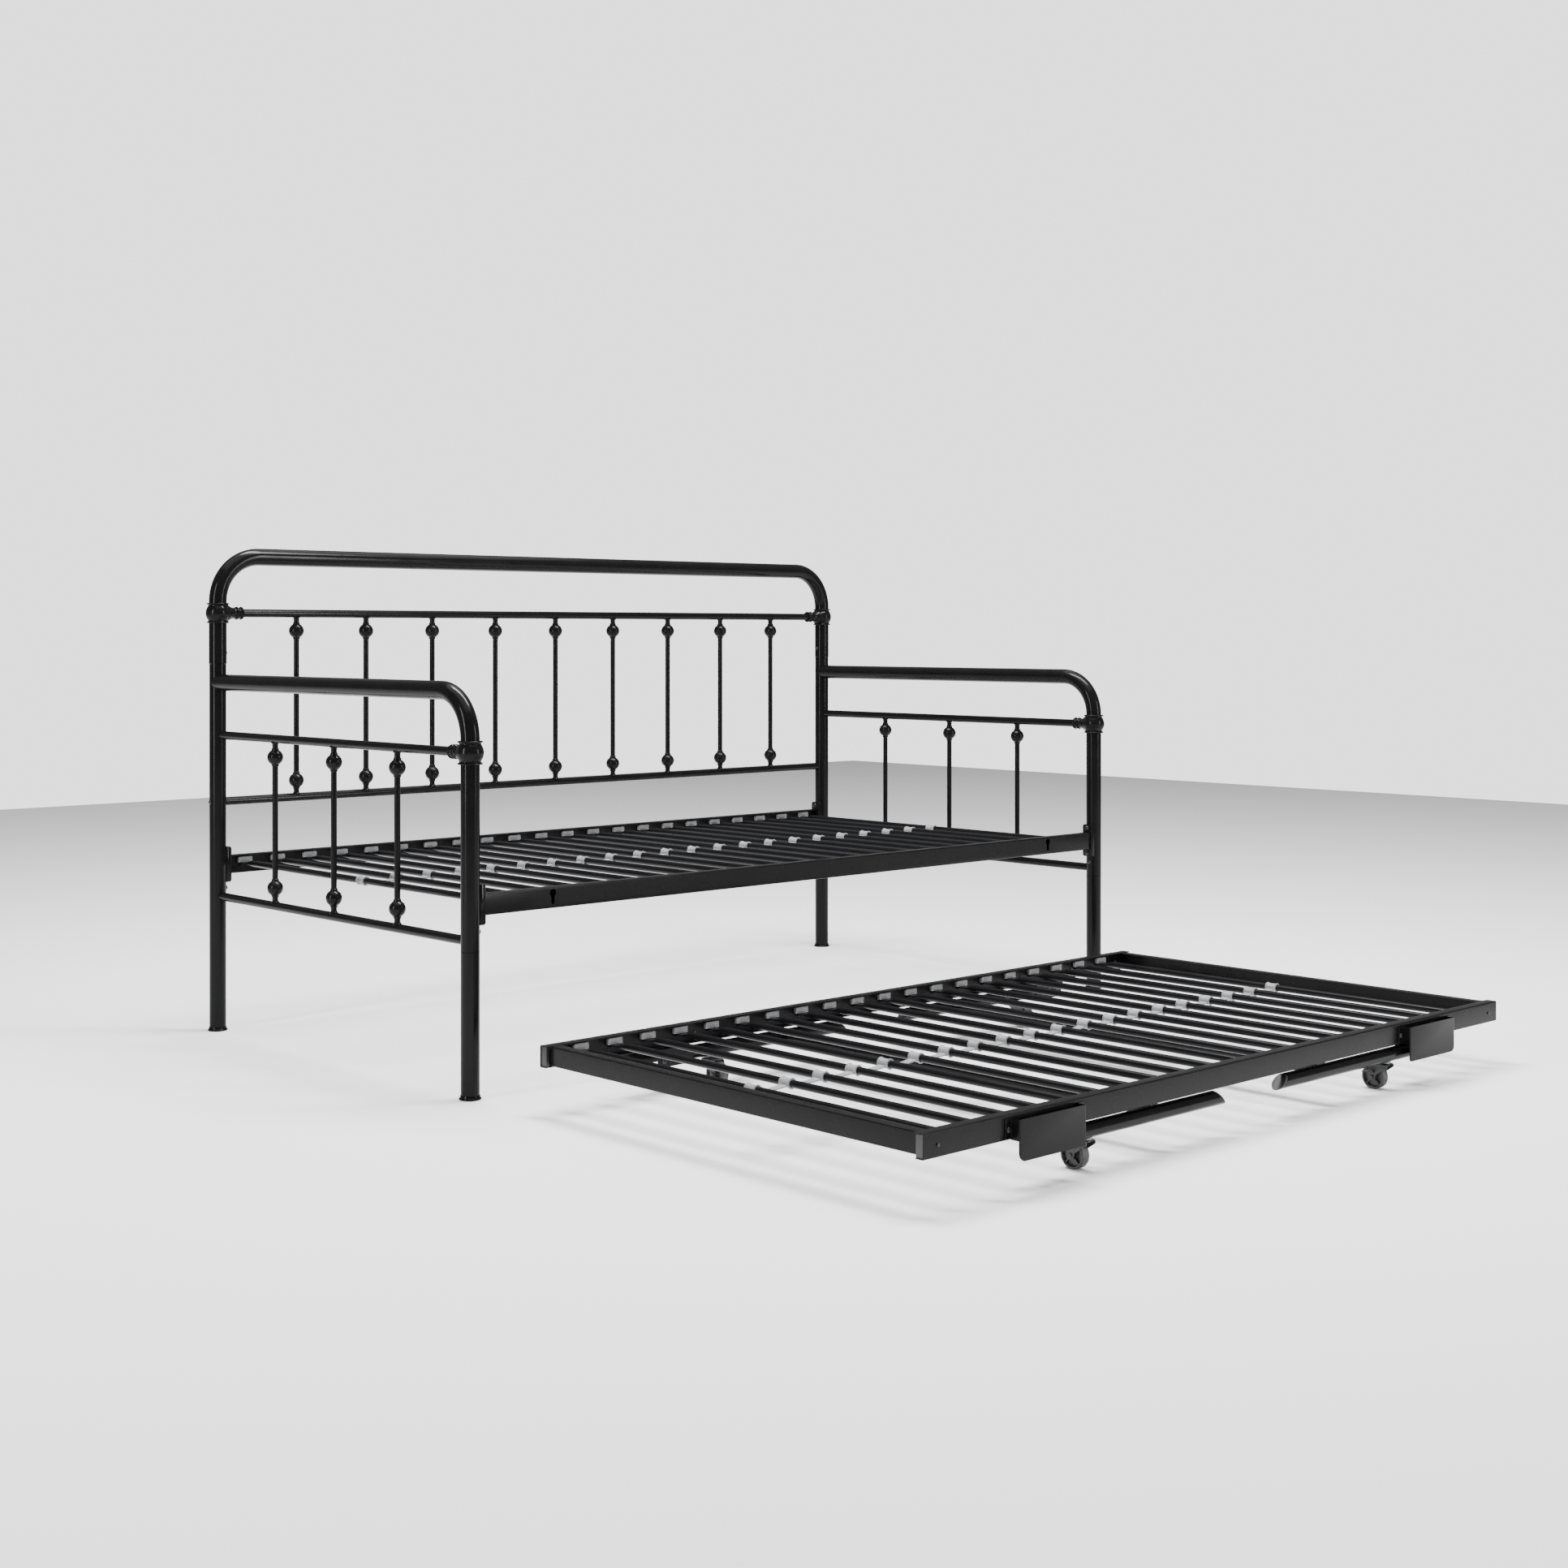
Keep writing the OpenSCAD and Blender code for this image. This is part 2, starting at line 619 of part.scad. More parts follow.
// Saddles that fill the space between a round post and a flat end plate
module post_brackets()
    for (s = [-1, 1], y = [front_y, back_y]) color(paint) difference() {
        translate([s * (side_rail_end + end_plate_t + (saddle_t + saddle_in) / 2), y, end_plate_z])
            cube([saddle_t + saddle_in, end_plate_w, end_plate_h], center = true);
        translate([s * post_x, y, 0]) cylinder(h = arm_top_z, r = post_r + weld_gap);
        for (z = [-bolt_dz, bolt_dz])
            translate([s * side_rail_end, y, end_plate_z + z]) rod_x(frame_bolt_d / 2 + fit_gap, 60);
    }
module bed_slats() color(paint) slats(bed_slat_xs, bed_face_front, bed_face_back, bed_slat_z);
module bed_slat_strap() color(grey) slat_strap(bed_slat_xs, (front_y + back_y) / 2, bed_slat_z);
module bed_slat_plugs() color(grey)
    slat_plugs(bed_slat_xs, bed_face_front, bed_face_back, bed_slat_z);

// Bolts of the side rails, the legs, the back panel's sleeve joints and its lower rail
module bed_bolts() color(dark) {
    for (s = [0, 1]) mirror([s, 0, 0]) {
        for (y = [front_y, back_y]) {
            for (z = [-bolt_dz, bolt_dz]) translate([-side_rail_end, y, end_plate_z + z])
                mirror([1, 0, 0]) bolt(frame_bolt_d, end_plate_t + saddle_t + 8);
            translate([-post_x + post_r, y, leg_bolt_z]) mirror([1, 0, 0]) bolt(frame_bolt_d, post_r / 2);
        }
        translate([-post_x + back_r, back_y, back_seam_z + spigot_l / 2])
            mirror([1, 0, 0]) bolt(seam_bolt_d, back_r / 2);
        translate([-post_x - post_r, back_y, back_lower_z]) bolt(lower_bolt_d, lower_bolt_l);
    }
}

// ---------- trundle frame ----------

// Long rail with its web at y = 0, its ledges for the slats and its bolt holes
module trundle_long_rail() color(paint) difference() {
    union() {
        translate([trundle_x0, 0, trundle_bottom])
            channel(trundle_l, trundle_rail_h, trundle_flange_w, trundle_lip_w, sheet_t);
        ledges(trundle_slat_xs, trundle_slat_z);
    }
    for (s = [-1, 1]) translate([trundle_mid, 0, 0]) {
        for (x = guard_bolt_xs) translate([s * (trundle_l / 2 - leg_pivot_x - x), 0, leg_z + guard_bolt_z])
            rod_y(guard_bolt_d / 2 + fit_gap, 4 * sheet_t);
        translate([s * (trundle_l / 2 - end_rail_inset - corner_bolt_x), 0,
                   trundle_bottom + corner_dz + corner_tab_h / 2])
            rod_y(corner_bolt_d / 2 + fit_gap, 4 * sheet_t);
    }
}
module trundle_front_rail() translate([0, trundle_y0, 0]) trundle_long_rail();
module trundle_back_rail() translate([0, trundle_y1, 0]) mirror([0, 1, 0]) trundle_long_rail();

// End rail along Y: a channel between the long rails, with a bolted corner tab at each end
module trundle_end_rail() color(paint) difference() {
    h = trundle_rail_h - 4;
    y0 = trundle_y0 + trundle_flange_w + 0.5;
    y1 = trundle_y1 - trundle_flange_w - 0.5;
    arm = trundle_flange_w + 20;
    union() {
        translate([0, y1, trundle_z - 1 - h]) rotate([0, 0, -90])
            channel(y1 - y0, h, trundle_flange_w, trundle_lip_w, sheet_t);
        for (e = [0, 1])
            translate([0, (trundle_y0 + trundle_y1) / 2, trundle_bottom + corner_dz]) mirror([0, e, 0])
            translate([0, -trundle_w / 2 + sheet_t + weld_gap, 0]) {
                cube([corner_tab_l, sheet_t, corner_tab_h]);
                cube([sheet_t, arm, corner_tab_h]);
            }
    }
    for (y = [trundle_y0, trundle_y1])
        translate([corner_bolt_x, y, trundle_bottom + corner_dz + corner_tab_h / 2])
            rod_y(corner_bolt_d / 2 + fit_gap, 20);
}
module trundle_left_rail() translate([trundle_x0 + end_rail_inset, 0, 0]) trundle_end_rail();
module trundle_right_rail()
    translate([trundle_x1 - end_rail_inset, 0, 0]) mirror([1, 0, 0]) trundle_end_rail();

// Plastic caps in the open ends of the long rails
module trundle_end_caps() color(dark)
    for (s = [0, 1], e = [0, 1])
        translate([trundle_mid, (trundle_y0 + trundle_y1) / 2, 0]) mirror([s, 0, 0]) mirror([0, e, 0])
            translate([-trundle_l / 2, -trundle_w / 2, trundle_bottom])
                translate([1, sheet_t + weld_gap, sheet_t + weld_gap])
                    cube([end_rail_inset - 2, trundle_lip_w - sheet_t,
                          trundle_rail_h - 2 * (sheet_t + weld_gap)]);

module trundle_slats() color(paint) slats(trundle_slat_xs, trundle_y0, trundle_y1, trundle_slat_z);
module trundle_slat_strap() color(grey)
    slat_strap(trundle_slat_xs, (trundle_y0 + trundle_y1) / 2, trundle_slat_z);
module trundle_slat_plugs() color(grey)
    slat_plugs(trundle_slat_xs, trundle_y0, trundle_y1, trundle_slat_z);

// ---------- trundle leg frames and their brackets ----------

// Puts its children at a leg's pivot: +X runs to the folded foot, +Y to the trundle's middle
module at_leg(side, end)
    translate([trundle_mid, (trundle_y0 + trundle_y1) / 2, 0])
        mirror([side > 0 ? 1 : 0, 0, 0]) mirror([0, end > 0 ? 1 : 0, 0])
            translate([-trundle_l / 2 + leg_pivot_x, -trundle_w / 2 + leg_in, leg_z]) children();

module at_all_legs() for (s = [-1, 1], e = [-1, 1]) at_leg(s, e) children();

// Guard plate seen from the front: its outer lower corner has the larger radius
module guard_outline() {
    difference() {
        square([bracket_l, bracket_h]);
        square(bracket_corner_r);
        translate([bracket_l - guard_small_r, 0]) square(guard_small_r);
    }
    translate([bracket_corner_r, bracket_corner_r]) circle(r = bracket_corner_r);
    translate([bracket_l - guard_small_r, guard_small_r]) circle(r = guard_small_r);
}

// Guard: outer plate, two webs with bolted flanges, and the pivot bolt's long nut
module leg_guard() color(paint) difference() {
    union() {
        translate([-pivot_x, guard_y + bracket_t, guard_top - bracket_h])
            rotate([90, 0, 0]) linear_extrude(bracket_t) guard_outline();
        for (x = [-pivot_x, bracket_l - pivot_x - bracket_t])
            translate([x, guard_y, rail_low])
                cube([bracket_t, bracket_depth - weld_gap, guard_top - rail_low]);
        for (x = [-pivot_x - bracket_flange_w, bracket_l - pivot_x - bracket_t])
            translate([x, rail_face - bracket_t - weld_gap, rail_low + 2])
                cube([bracket_flange_w + bracket_t, bracket_t, guard_top - rail_low - 2]);
        translate([0, guard_y + bracket_t / 2, 0])
            rotate([-90, 0, 0]) cylinder(h = -guard_y - bracket_t / 2 - leg_r - 1.5, r = pivot_d);
    }
    translate([0, guard_y + bracket_t, 0])
        rotate([-90, 0, 0]) cylinder(h = bracket_depth + 2 * leg_r, r = pivot_d / 2 + weld_gap);
    for (x = guard_bolt_xs) translate([x, rail_face, guard_bolt_z])
        rod_y(guard_bolt_d / 2 + fit_gap, 4 * bracket_t);
}

// Pivot plate behind the leg, with two tabs welded under the rail's bottom flange
module pivot_plate() color(paint) difference() {
    union() {
        translate([-pivot_plate_l / 2, pivot_plate_y, -leg_end_r])
            cube([pivot_plate_l, bracket_t, rail_low - weld_gap + leg_end_r]);
        for (s = [-1, 1])
            translate([s * (pivot_plate_l / 2 - tab_l / 2) - tab_l / 2, 0, rail_low - weld_gap - bracket_t])
                cube([tab_l, pivot_plate_y + bracket_t / 2, bracket_t]);
    }
    rod_y(pivot_d / 2 + weld_gap, 4 * leg_r);
    at_stop() rod_y(stop_d / 2 + weld_gap, 4 * leg_r);
}
module leg_brackets() at_all_legs() {
    leg_guard();
    pivot_plate();
}

// Place of the pin that stops the leg at its full angle
module at_stop() rotate([0, leg_angle, 0]) translate([stop_s, 0, -leg_r - stop_gap - stop_d / 2]) children();

// Bolt along -Y with its head's inner face at the origin
module bolt_in(d, len) rotate([0, 0, -90]) bolt(d, len);

module leg_pivot_bolts() color(steel)
    at_all_legs() translate([0, pivot_plate_y + bracket_t, 0])
        bolt_in(pivot_d, pivot_plate_y + bracket_t - guard_y - bracket_t - weld_gap);

// Bolts of the guards and the end rails, and the legs' stop pins
module trundle_bolts() color(dark) {
    at_all_legs() {
        for (x = guard_bolt_xs) translate([x, rail_face - bracket_t - weld_gap, guard_bolt_z])
            mirror([0, 1, 0]) bolt_in(guard_bolt_d, 12);
        at_stop() translate([0, pivot_plate_y + bracket_t, 0])
            rotate([0, -leg_angle, 0]) bolt_in(stop_d, pivot_plate_y - guard_y - weld_gap);
    }
    for (s = [0, 1], e = [0, 1])
        translate([trundle_mid, (trundle_y0 + trundle_y1) / 2, 0]) mirror([s, 0, 0]) mirror([0, e, 0])
            translate([-trundle_l / 2 + end_rail_inset + corner_bolt_x,
                       -trundle_w / 2 + 2 * sheet_t + weld_gap, trundle_bottom + corner_dz + corner_tab_h / 2])
                bolt_in(corner_bolt_d, 2 * sheet_t - weld_gap);
}

// Leg tube with a rounded end and a bush at its pivot, and a slanted foot
module leg_tube() color(paint) difference() {
    union() {
        intersection() {
            rotate([0, 90, 0]) translate([0, 0, -leg_end_r]) pipe(leg_r, tube_wall, leg_l + 2 * leg_r);
            union() {
                rod_y(leg_end_r, 4 * leg_r);
                translate([0, -2 * leg_r, -2 * leg_r]) cube([leg_l + 4 * leg_r, 4 * leg_r, 4 * leg_r]);
            }
        }
        rod_y(pivot_d, 2 * leg_r);
    }
    rod_y(pivot_d / 2 + run_gap, 4 * leg_r);
    at_foot() translate([-foot_t, -2 * leg_r, -4 * leg_r]) cube(8 * leg_r);
    translate([caster_x, 0, -leg_r]) rod_z(stem_d / 2 + weld_gap, leg_r);
}

// Foot's plane: +X points straight down when the leg is fully open
module at_foot() translate([leg_l, 0, 0]) rotate([0, 90 - leg_angle, 0]) children();

// Plastic plug with a tread as wide as the tube
module foot_plug() color(dark) {
    intersection() {
        translate([leg_l, 0, 0]) rod_x(leg_r, 8 * leg_r);
        at_foot() translate([-foot_t + weld_gap, -2 * leg_r, -4 * leg_r])
            cube([foot_t - weld_gap, 4 * leg_r, 8 * leg_r]);
    }
    intersection() {
        translate([leg_l, 0, 0]) rod_x(leg_r - tube_wall - fit_gap, 8 * leg_r);
        at_foot() translate([-foot_t - foot_reach, -2 * leg_r, -4 * leg_r])
            cube([foot_reach + foot_t / 2, 4 * leg_r, 8 * leg_r]);
    }
}

// Tube that joins the front and back legs of one end
module cross_tube(side) color(paint) {
    y0 = trundle_y0 + leg_in;
    y1 = trundle_y1 - leg_in;
    difference() {
        translate([trundle_mid + side * (trundle_l / 2 - leg_pivot_x - cross_x), (y0 + y1) / 2, leg_z])
            rotate([90, 0, 0]) translate([0, 0, -(y1 - y0) / 2]) pipe(cross_d / 2, tube_wall, y1 - y0);
        for (y = [y0, y1]) translate([trundle_mid, y, leg_z]) rod_x(leg_r + weld_gap, trundle_l);
    }
}
module leg_cross_tube_left() cross_tube(-1);
module leg_cross_tube_right() cross_tube(1);

// ---------- casters ----------

// Puts its children under a leg: the stem's axis is at the origin, at the leg's axis height
module at_caster(side, end) at_leg(side, end) translate([caster_x, 0, 0]) children();

// Riveted stem: it stands in the leg, and the fork turns on its shank
module caster_stem() color(steel) {
    translate([0, 0, crown_z - fork_t - 0.4])
        cylinder(h = -crown_z + fork_t + 0.4 - leg_r + stem_reach, r = stem_d / 2);
    translate([0, 0, crown_z - fork_t - 1.6]) cylinder(h = 1.4, r = stem_d / 2 + 2);
    difference() {
        translate([0, 0, -leg_r - stem_collar_h]) cylinder(h = leg_r / 2, r = stem_d / 2 + 5);
        rod_x(leg_r + weld_gap, 4 * leg_r);
    }
}

// Cheek of the fork in the Y-Z plane, drawn with Y to the right and Z up
module cheek_outline() {
    polygon([[-9, crown_z], [caster_trail + 6, crown_z], [caster_trail + 8, wheel_z],
             [caster_trail - 8, wheel_z], [-9, crown_z - 7]]);
    translate([caster_trail, wheel_z]) circle(r = 8);
}

// Fork: a crown plate with two cheeks; a braked one also has two ears with the pedal's pin
module caster_fork(braked) color(dark) difference() {
    union() {
        translate([-fork_in - fork_t, -9, crown_z - fork_t])
            cube([2 * (fork_in + fork_t), caster_trail + 15, fork_t]);
        rod_crown();
        for (x = [-fork_in - fork_t, fork_in])
            translate([x, 0, 0]) rotate([90, 0, 90]) linear_extrude(fork_t) cheek_outline();
        if (braked) {
            for (y = [-1, 1])
                translate([fork_in + fork_t - 0.5, caster_trail + y * (pedal_w / 2 + 1.3) - 1, pedal_z - 3])
                cube([6.5, 2, 6]);
            translate([pedal_x, caster_trail, pedal_z]) rod_y(pedal_pin_d / 2, pedal_w + 3);
        }
    }
    rod_z(stem_d / 2 + run_gap, 8 * leg_r);
    translate([0, caster_trail, wheel_z]) rod_x(axle_d / 2 + weld_gap, 4 * fork_in);
}
module rod_crown() translate([0, 0, crown_z - fork_t]) cylinder(h = fork_t, r = fork_in);

module caster_axle() color(steel) translate([0, caster_trail, wheel_z]) {
    rod_x(axle_d / 2, 2 * (fork_in + fork_t) + 1);
    for (s = [-1, 1]) translate([s * (fork_in + fork_t + 0.9), 0, 0]) rod_x(axle_d / 2 + 1.5, 1.6);
}

// Moulded wheel: a tread, a thin disc with crossed ribs on both sides, and a hub
module caster_wheel() color(dark) translate([0, caster_trail, wheel_z]) difference() {
    union() {
        difference() {
            union() {
                rod_x(wheel_r, wheel_w - 2 * tread_edge);
                rod_x(wheel_r - tread_edge, wheel_w);
            }
            for (s = [-1, 1]) translate([s * wheel_w / 2, 0, 0]) rod_x(wheel_r - 6, wheel_w - disc_t);
        }
        rod_x(axle_d / 2 + 4, hub_w);
        for (a = [45, 135]) rotate([a, 0, 0]) cube([wheel_w - 3, 2 * wheel_r - 11, 2], center = true);
    }
    rod_x(axle_d / 2 + run_gap, wheel_w + 2 * fork_in);
}

// Pedal that stands out beside the fork
module brake_pedal() color(dark) translate([pedal_x, caster_trail, pedal_z]) difference() {
    union() {
        rod_y(pedal_pin_d / 2 + 1.5, pedal_w);
        translate([0, -pedal_w / 2, 0.5]) cube([pedal_l, pedal_w, 1.8]);
        translate([pedal_l - 1, -pedal_w / 2 - 1, 0.5]) cube([4, pedal_w + 2, 2.6]);
    }
    rod_y(pedal_pin_d / 2 + run_gap, 3 * pedal_w);
}

// ---------- nodes ----------

back_panel_tube();
back_upper_rail();
back_lower_rail();
back_spindles();
left_arm_tube();
right_arm_tube();
left_back_post();
right_back_post();
arm_rails();
arm_spindles();
spindle_balls();
corner_castings();
bed_legs();
bed_feet();
front_side_rail();
back_side_rail();
post_brackets();
bed_slats();
bed_slat_strap();
bed_slat_plugs();
bed_bolts();
trundle_front_rail();
trundle_back_rail();
trundle_left_rail();
trundle_right_rail();
trundle_end_caps();
trundle_slats();
trundle_slat_strap();
trundle_slat_plugs();
leg_brackets();
trundle_bolts();
leg_pivot_bolts();
leg_cross_tube_left();
leg_cross_tube_right();
at_leg(-1, -1) leg_tube();  // leg_front_left
at_leg(1, -1) leg_tube();  // leg_front_right
at_leg(-1, 1) leg_tube();  // leg_back_left
at_leg(1, 1) leg_tube();  // leg_back_right
at_leg(-1, -1) foot_plug();  // foot_plug_front_left
at_leg(1, -1) foot_plug();  // foot_plug_front_right
at_leg(-1, 1) foot_plug();  // foot_plug_back_left
at_leg(1, 1) foot_plug();  // foot_plug_back_right
at_caster(-1, -1) caster_stem();  // caster_stem_front_left
at_caster(1, -1) caster_stem();  // caster_stem_front_right
at_caster(-1, 1) caster_stem();  // caster_stem_back_left
at_caster(1, 1) caster_stem();  // caster_stem_back_right
at_caster(-1, -1) caster_fork(true);  // caster_fork_front_left
at_caster(1, -1) caster_fork(true);  // caster_fork_front_right
at_caster(-1, 1) caster_fork(false);  // caster_fork_back_left
at_caster(1, 1) caster_fork(false);  // caster_fork_back_right
at_caster(-1, -1) caster_axle();  // caster_axle_front_left
at_caster(1, -1) caster_axle();  // caster_axle_front_right
at_caster(-1, 1) caster_axle();  // caster_axle_back_left
at_caster(1, 1) caster_axle();  // caster_axle_back_right
at_caster(-1, -1) caster_wheel();  // caster_wheel_front_left
at_caster(1, -1) caster_wheel();  // caster_wheel_front_right
at_caster(-1, 1) caster_wheel();  // caster_wheel_back_left
at_caster(1, 1) caster_wheel();  // caster_wheel_back_right
at_caster(-1, -1) brake_pedal();  // brake_pedal_front_left
at_caster(1, -1) brake_pedal();  // brake_pedal_front_right
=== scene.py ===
# %% [markdown]
# # A black steel daybed with its trundle pulled out
# The bed is made of powder-coated steel tubes, rolled steel rails and slats, with cast corner
# joints, a few plastic parts and four small casters. The exact model is loaded as a fixed frame.
# Tubes whose shape is already right keep their mesh and get a better finish. Rolled, cast, turned
# and moulded pieces are made again here with their real edges and put in the same places.

import json
import math

import bmesh
import bpy
from mathutils import Matrix, Vector


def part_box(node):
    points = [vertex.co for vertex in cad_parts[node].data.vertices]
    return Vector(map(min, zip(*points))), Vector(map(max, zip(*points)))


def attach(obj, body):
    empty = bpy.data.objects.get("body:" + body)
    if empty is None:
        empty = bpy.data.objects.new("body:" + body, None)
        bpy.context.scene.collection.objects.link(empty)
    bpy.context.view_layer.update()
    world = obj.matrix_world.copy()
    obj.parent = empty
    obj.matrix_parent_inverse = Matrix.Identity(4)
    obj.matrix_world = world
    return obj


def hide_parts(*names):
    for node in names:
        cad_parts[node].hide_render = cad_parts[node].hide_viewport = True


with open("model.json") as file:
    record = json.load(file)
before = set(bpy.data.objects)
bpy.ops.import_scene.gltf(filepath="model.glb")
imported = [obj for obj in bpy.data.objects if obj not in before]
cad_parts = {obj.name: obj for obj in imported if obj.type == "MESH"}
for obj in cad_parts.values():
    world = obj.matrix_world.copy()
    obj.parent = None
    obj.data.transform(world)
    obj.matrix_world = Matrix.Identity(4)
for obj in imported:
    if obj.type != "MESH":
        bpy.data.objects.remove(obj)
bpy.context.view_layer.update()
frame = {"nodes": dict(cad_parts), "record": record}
MM = 0.001

# %% [markdown]
# Two small tools serve every material and every node tree. Hex colours are stored for screens, so
# they are turned to the linear values that light is added up in. One function adds a node, sets its
# options and fills its inputs, with a plain value or with a link from another node's output.

# %% Colours and nodes
def linear(code):
    """Linear colour from an sRGB hex code."""
    parts = [int(code[i:i + 2], 16) / 255 for i in (1, 3, 5)]
    return [c / 12.92 if c <= 0.04045 else ((c + 0.055) / 1.055) ** 2.4 for c in parts] + [1.0]


def add(tree, kind, inputs=None, **options):
    """Adds one node: options are its settings, and inputs are values or outputs to link."""
    node = tree.nodes.new(kind)
    for name, value in options.items():
        setattr(node, name, value)
    for socket, value in (inputs or {}).items():
        if isinstance(value, bpy.types.NodeSocket):
            tree.links.new(value, node.inputs[socket])
        else:
            node.inputs[socket].default_value = value
    return node


print("black coat in linear light:", [round(c, 4) for c in linear("#0c0c0d")])

# %% [markdown]
# **Powder coat** is a plastic powder melted onto the steel. It is glossy and nearly black, and its
# skin is never quite flat: it has a soft orange peel about 3 mm across, which breaks the highlights
# on the tubes a little. A broad, faint change in gloss comes from handling. Drawing the peel in the
# bump and the handling in the roughness keeps the two scales apart, so each can be set in mm.

# %% Gloss powder coat on tube
def start_finish(name):
    """A new material, its tree, its shader and the object's own coordinates."""
    material = bpy.data.materials.new(name)
    material.use_nodes = True
    tree = material.node_tree
    place = add(tree, "ShaderNodeTexCoord").outputs["Object"]
    return material, tree, tree.nodes["Principled BSDF"], place


def noise(tree, place, size_mm, detail):
    """Noise with features of about size_mm."""
    return add(tree, "ShaderNodeTexNoise", {
        "Vector": place, "Scale": 1 / (size_mm * MM), "Detail": detail}).outputs["Fac"]


def surface(tree, shader, factor, dark, light, rough, bump=None):
    """Links two tones blended by factor, a roughness and a bump to the shader's own sockets."""
    tone = add(tree, "ShaderNodeMix", {
        "Factor": factor, 6: linear(dark), 7: linear(light)}, data_type="RGBA")
    tree.links.new(tone.outputs[2], shader.inputs["Base Color"])
    tree.links.new(rough.outputs["Result"], shader.inputs["Roughness"])
    if bump:
        tree.links.new(bump.outputs["Normal"], shader.inputs["Normal"])


def powder_coat(name, dark, light, gloss, peel_mm, peel_depth_mm):
    """Powder coat: two close tones, a range of roughness and an orange peel."""
    material, tree, shader, place = start_finish(name)
    broad = noise(tree, place, 60, 3.0)
    rough = add(tree, "ShaderNodeMapRange", {
        "Value": broad, "From Min": 0.3, "From Max": 0.7, "To Min": gloss[0], "To Max": gloss[1]})
    bump = add(tree, "ShaderNodeBump", {
        "Height": noise(tree, place, peel_mm, 1.5), "Strength": 0.6,
        "Distance": peel_depth_mm * MM})
    surface(tree, shader, broad, dark, light, rough, bump)
    shader.inputs["IOR"].default_value = 1.5
    shader.inputs["Specular IOR Level"].default_value = 0.10
    return material


tube_coat = powder_coat("gloss_black_powder_coat_on_tube",
                        "#0c0c0d", "#121213", (0.14, 0.20), 3.0, 0.008)
cast_coat = powder_coat("gloss_black_powder_coat_on_cast_metal",
                        "#0c0c0d", "#131314", (0.15, 0.22), 4.0, 0.03)
slat_coat = powder_coat("gloss_black_powder_coat_on_slats",
                        "#0e0e0f", "#141416", (0.18, 0.26), 3.0, 0.01)
print("coats:", tube_coat.name, cast_coat.name, slat_coat.name)

# %% [markdown]
# **Rolled rails** wear the same coat over cold-rolled strip. The strip's rolling lines run along its
# length and print through very faintly. The noise is stretched by a Mapping node, 40 times longer
# along the rail than across it, so it reads as long soft streaks.

# %% Satin powder coat on rolled strip
def rolled_coat(name, along):
    """Powder coat over rolled strip; along is 0 where the strip runs along X and 1 along Y."""
    material = powder_coat(name, "#0e0d0d", "#141313", (0.22, 0.32), 3.0, 0.01)
    tree = material.node_tree
    stretch = [1 / (3 * MM)] * 3
    stretch[along] /= 40
    place = tree.nodes["Texture Coordinate"].outputs["Object"]
    mapping = add(tree, "ShaderNodeMapping", {"Vector": place, "Scale": stretch})
    lines = add(tree, "ShaderNodeTexNoise", {
        "Vector": mapping.outputs["Vector"], "Scale": 1.0, "Detail": 2.0})
    streaks = add(tree, "ShaderNodeBump", {
        "Height": lines.outputs["Fac"], "Strength": 0.35, "Distance": 0.01 * MM,
        "Normal": tree.nodes["Bump"].outputs["Normal"]})
    tree.links.new(streaks.outputs["Normal"], tree.nodes["Principled BSDF"].inputs["Normal"])
    return material


rail_coat = rolled_coat("satin_black_powder_coat_on_long_rails", 0)
end_rail_coat = rolled_coat("satin_black_powder_coat_on_end_rails", 1)
print("rail coats:", rail_coat.name, end_rail_coat.name)

# %% [markdown]
# **Moulded nylon** fills the slat ends and clips the centre strap. The grey nylon lets a little light
# in, so it has some subsurface, and its mould was sparked to a fine matt grain. The black nylon of
# the caps and foot plugs is the same resin with carbon in it, so no light gets in.

# %% Moulded plastics
def moulded(name, dark, light, roughness, grain_mm, depth_mm, glow=0.0):
    """Injection-moulded plastic with a matt mould grain."""
    material, tree, shader, place = start_finish(name)
    grain = noise(tree, place, grain_mm, 2.0)
    rough = add(tree, "ShaderNodeMapRange", {
        "Value": grain, "To Min": roughness - 0.06, "To Max": roughness + 0.06})
    bump = add(tree, "ShaderNodeBump", {
        "Height": grain, "Strength": 0.5, "Distance": depth_mm * MM})
    surface(tree, shader, noise(tree, place, 25, 2.0), dark, light, rough, bump)
    shader.inputs["IOR"].default_value = 1.53
    shader.inputs["Subsurface Weight"].default_value = glow
    shader.inputs["Subsurface Scale"].default_value = 1.5 * MM
    return material


grey_nylon = moulded("moulded_grey_nylon", "#7f8082", "#8c8d8f", 0.48, 1.0, 0.03, 0.08)
black_nylon = moulded("moulded_black_nylon", "#191919", "#222223", 0.50, 1.0, 0.04)
wheel_nylon = moulded("moulded_dark_grey_wheel_nylon", "#262627", "#303031", 0.50, 0.9, 0.03)
print("plastics:", grey_nylon.name, black_nylon.name, wheel_nylon.name)

# %% [markdown]
# **Zinc plate** is a real metal skin with small cloudy crystals. **Black oxide**, on the socket
# bolts and the wheels' axles, is a thin dark layer that lets the steel's shine through. The forks
# have a thicker black coat, so less of the metal shows.

# %% Plated steel
def plated(name, dark, light, roughness, metallic):
    """Plated steel with crystals about 1.5 mm across."""
    material, tree, shader, place = start_finish(name)
    crystals = add(tree, "ShaderNodeTexVoronoi", {"Vector": place, "Scale": 1 / (1.5 * MM)})
    rough = add(tree, "ShaderNodeMapRange", {
        "Value": crystals.outputs["Distance"], "To Min": roughness, "To Max": roughness + 0.12})
    surface(tree, shader, crystals.outputs["Color"], dark, light, rough)
    shader.inputs["Metallic"].default_value = metallic
    return material


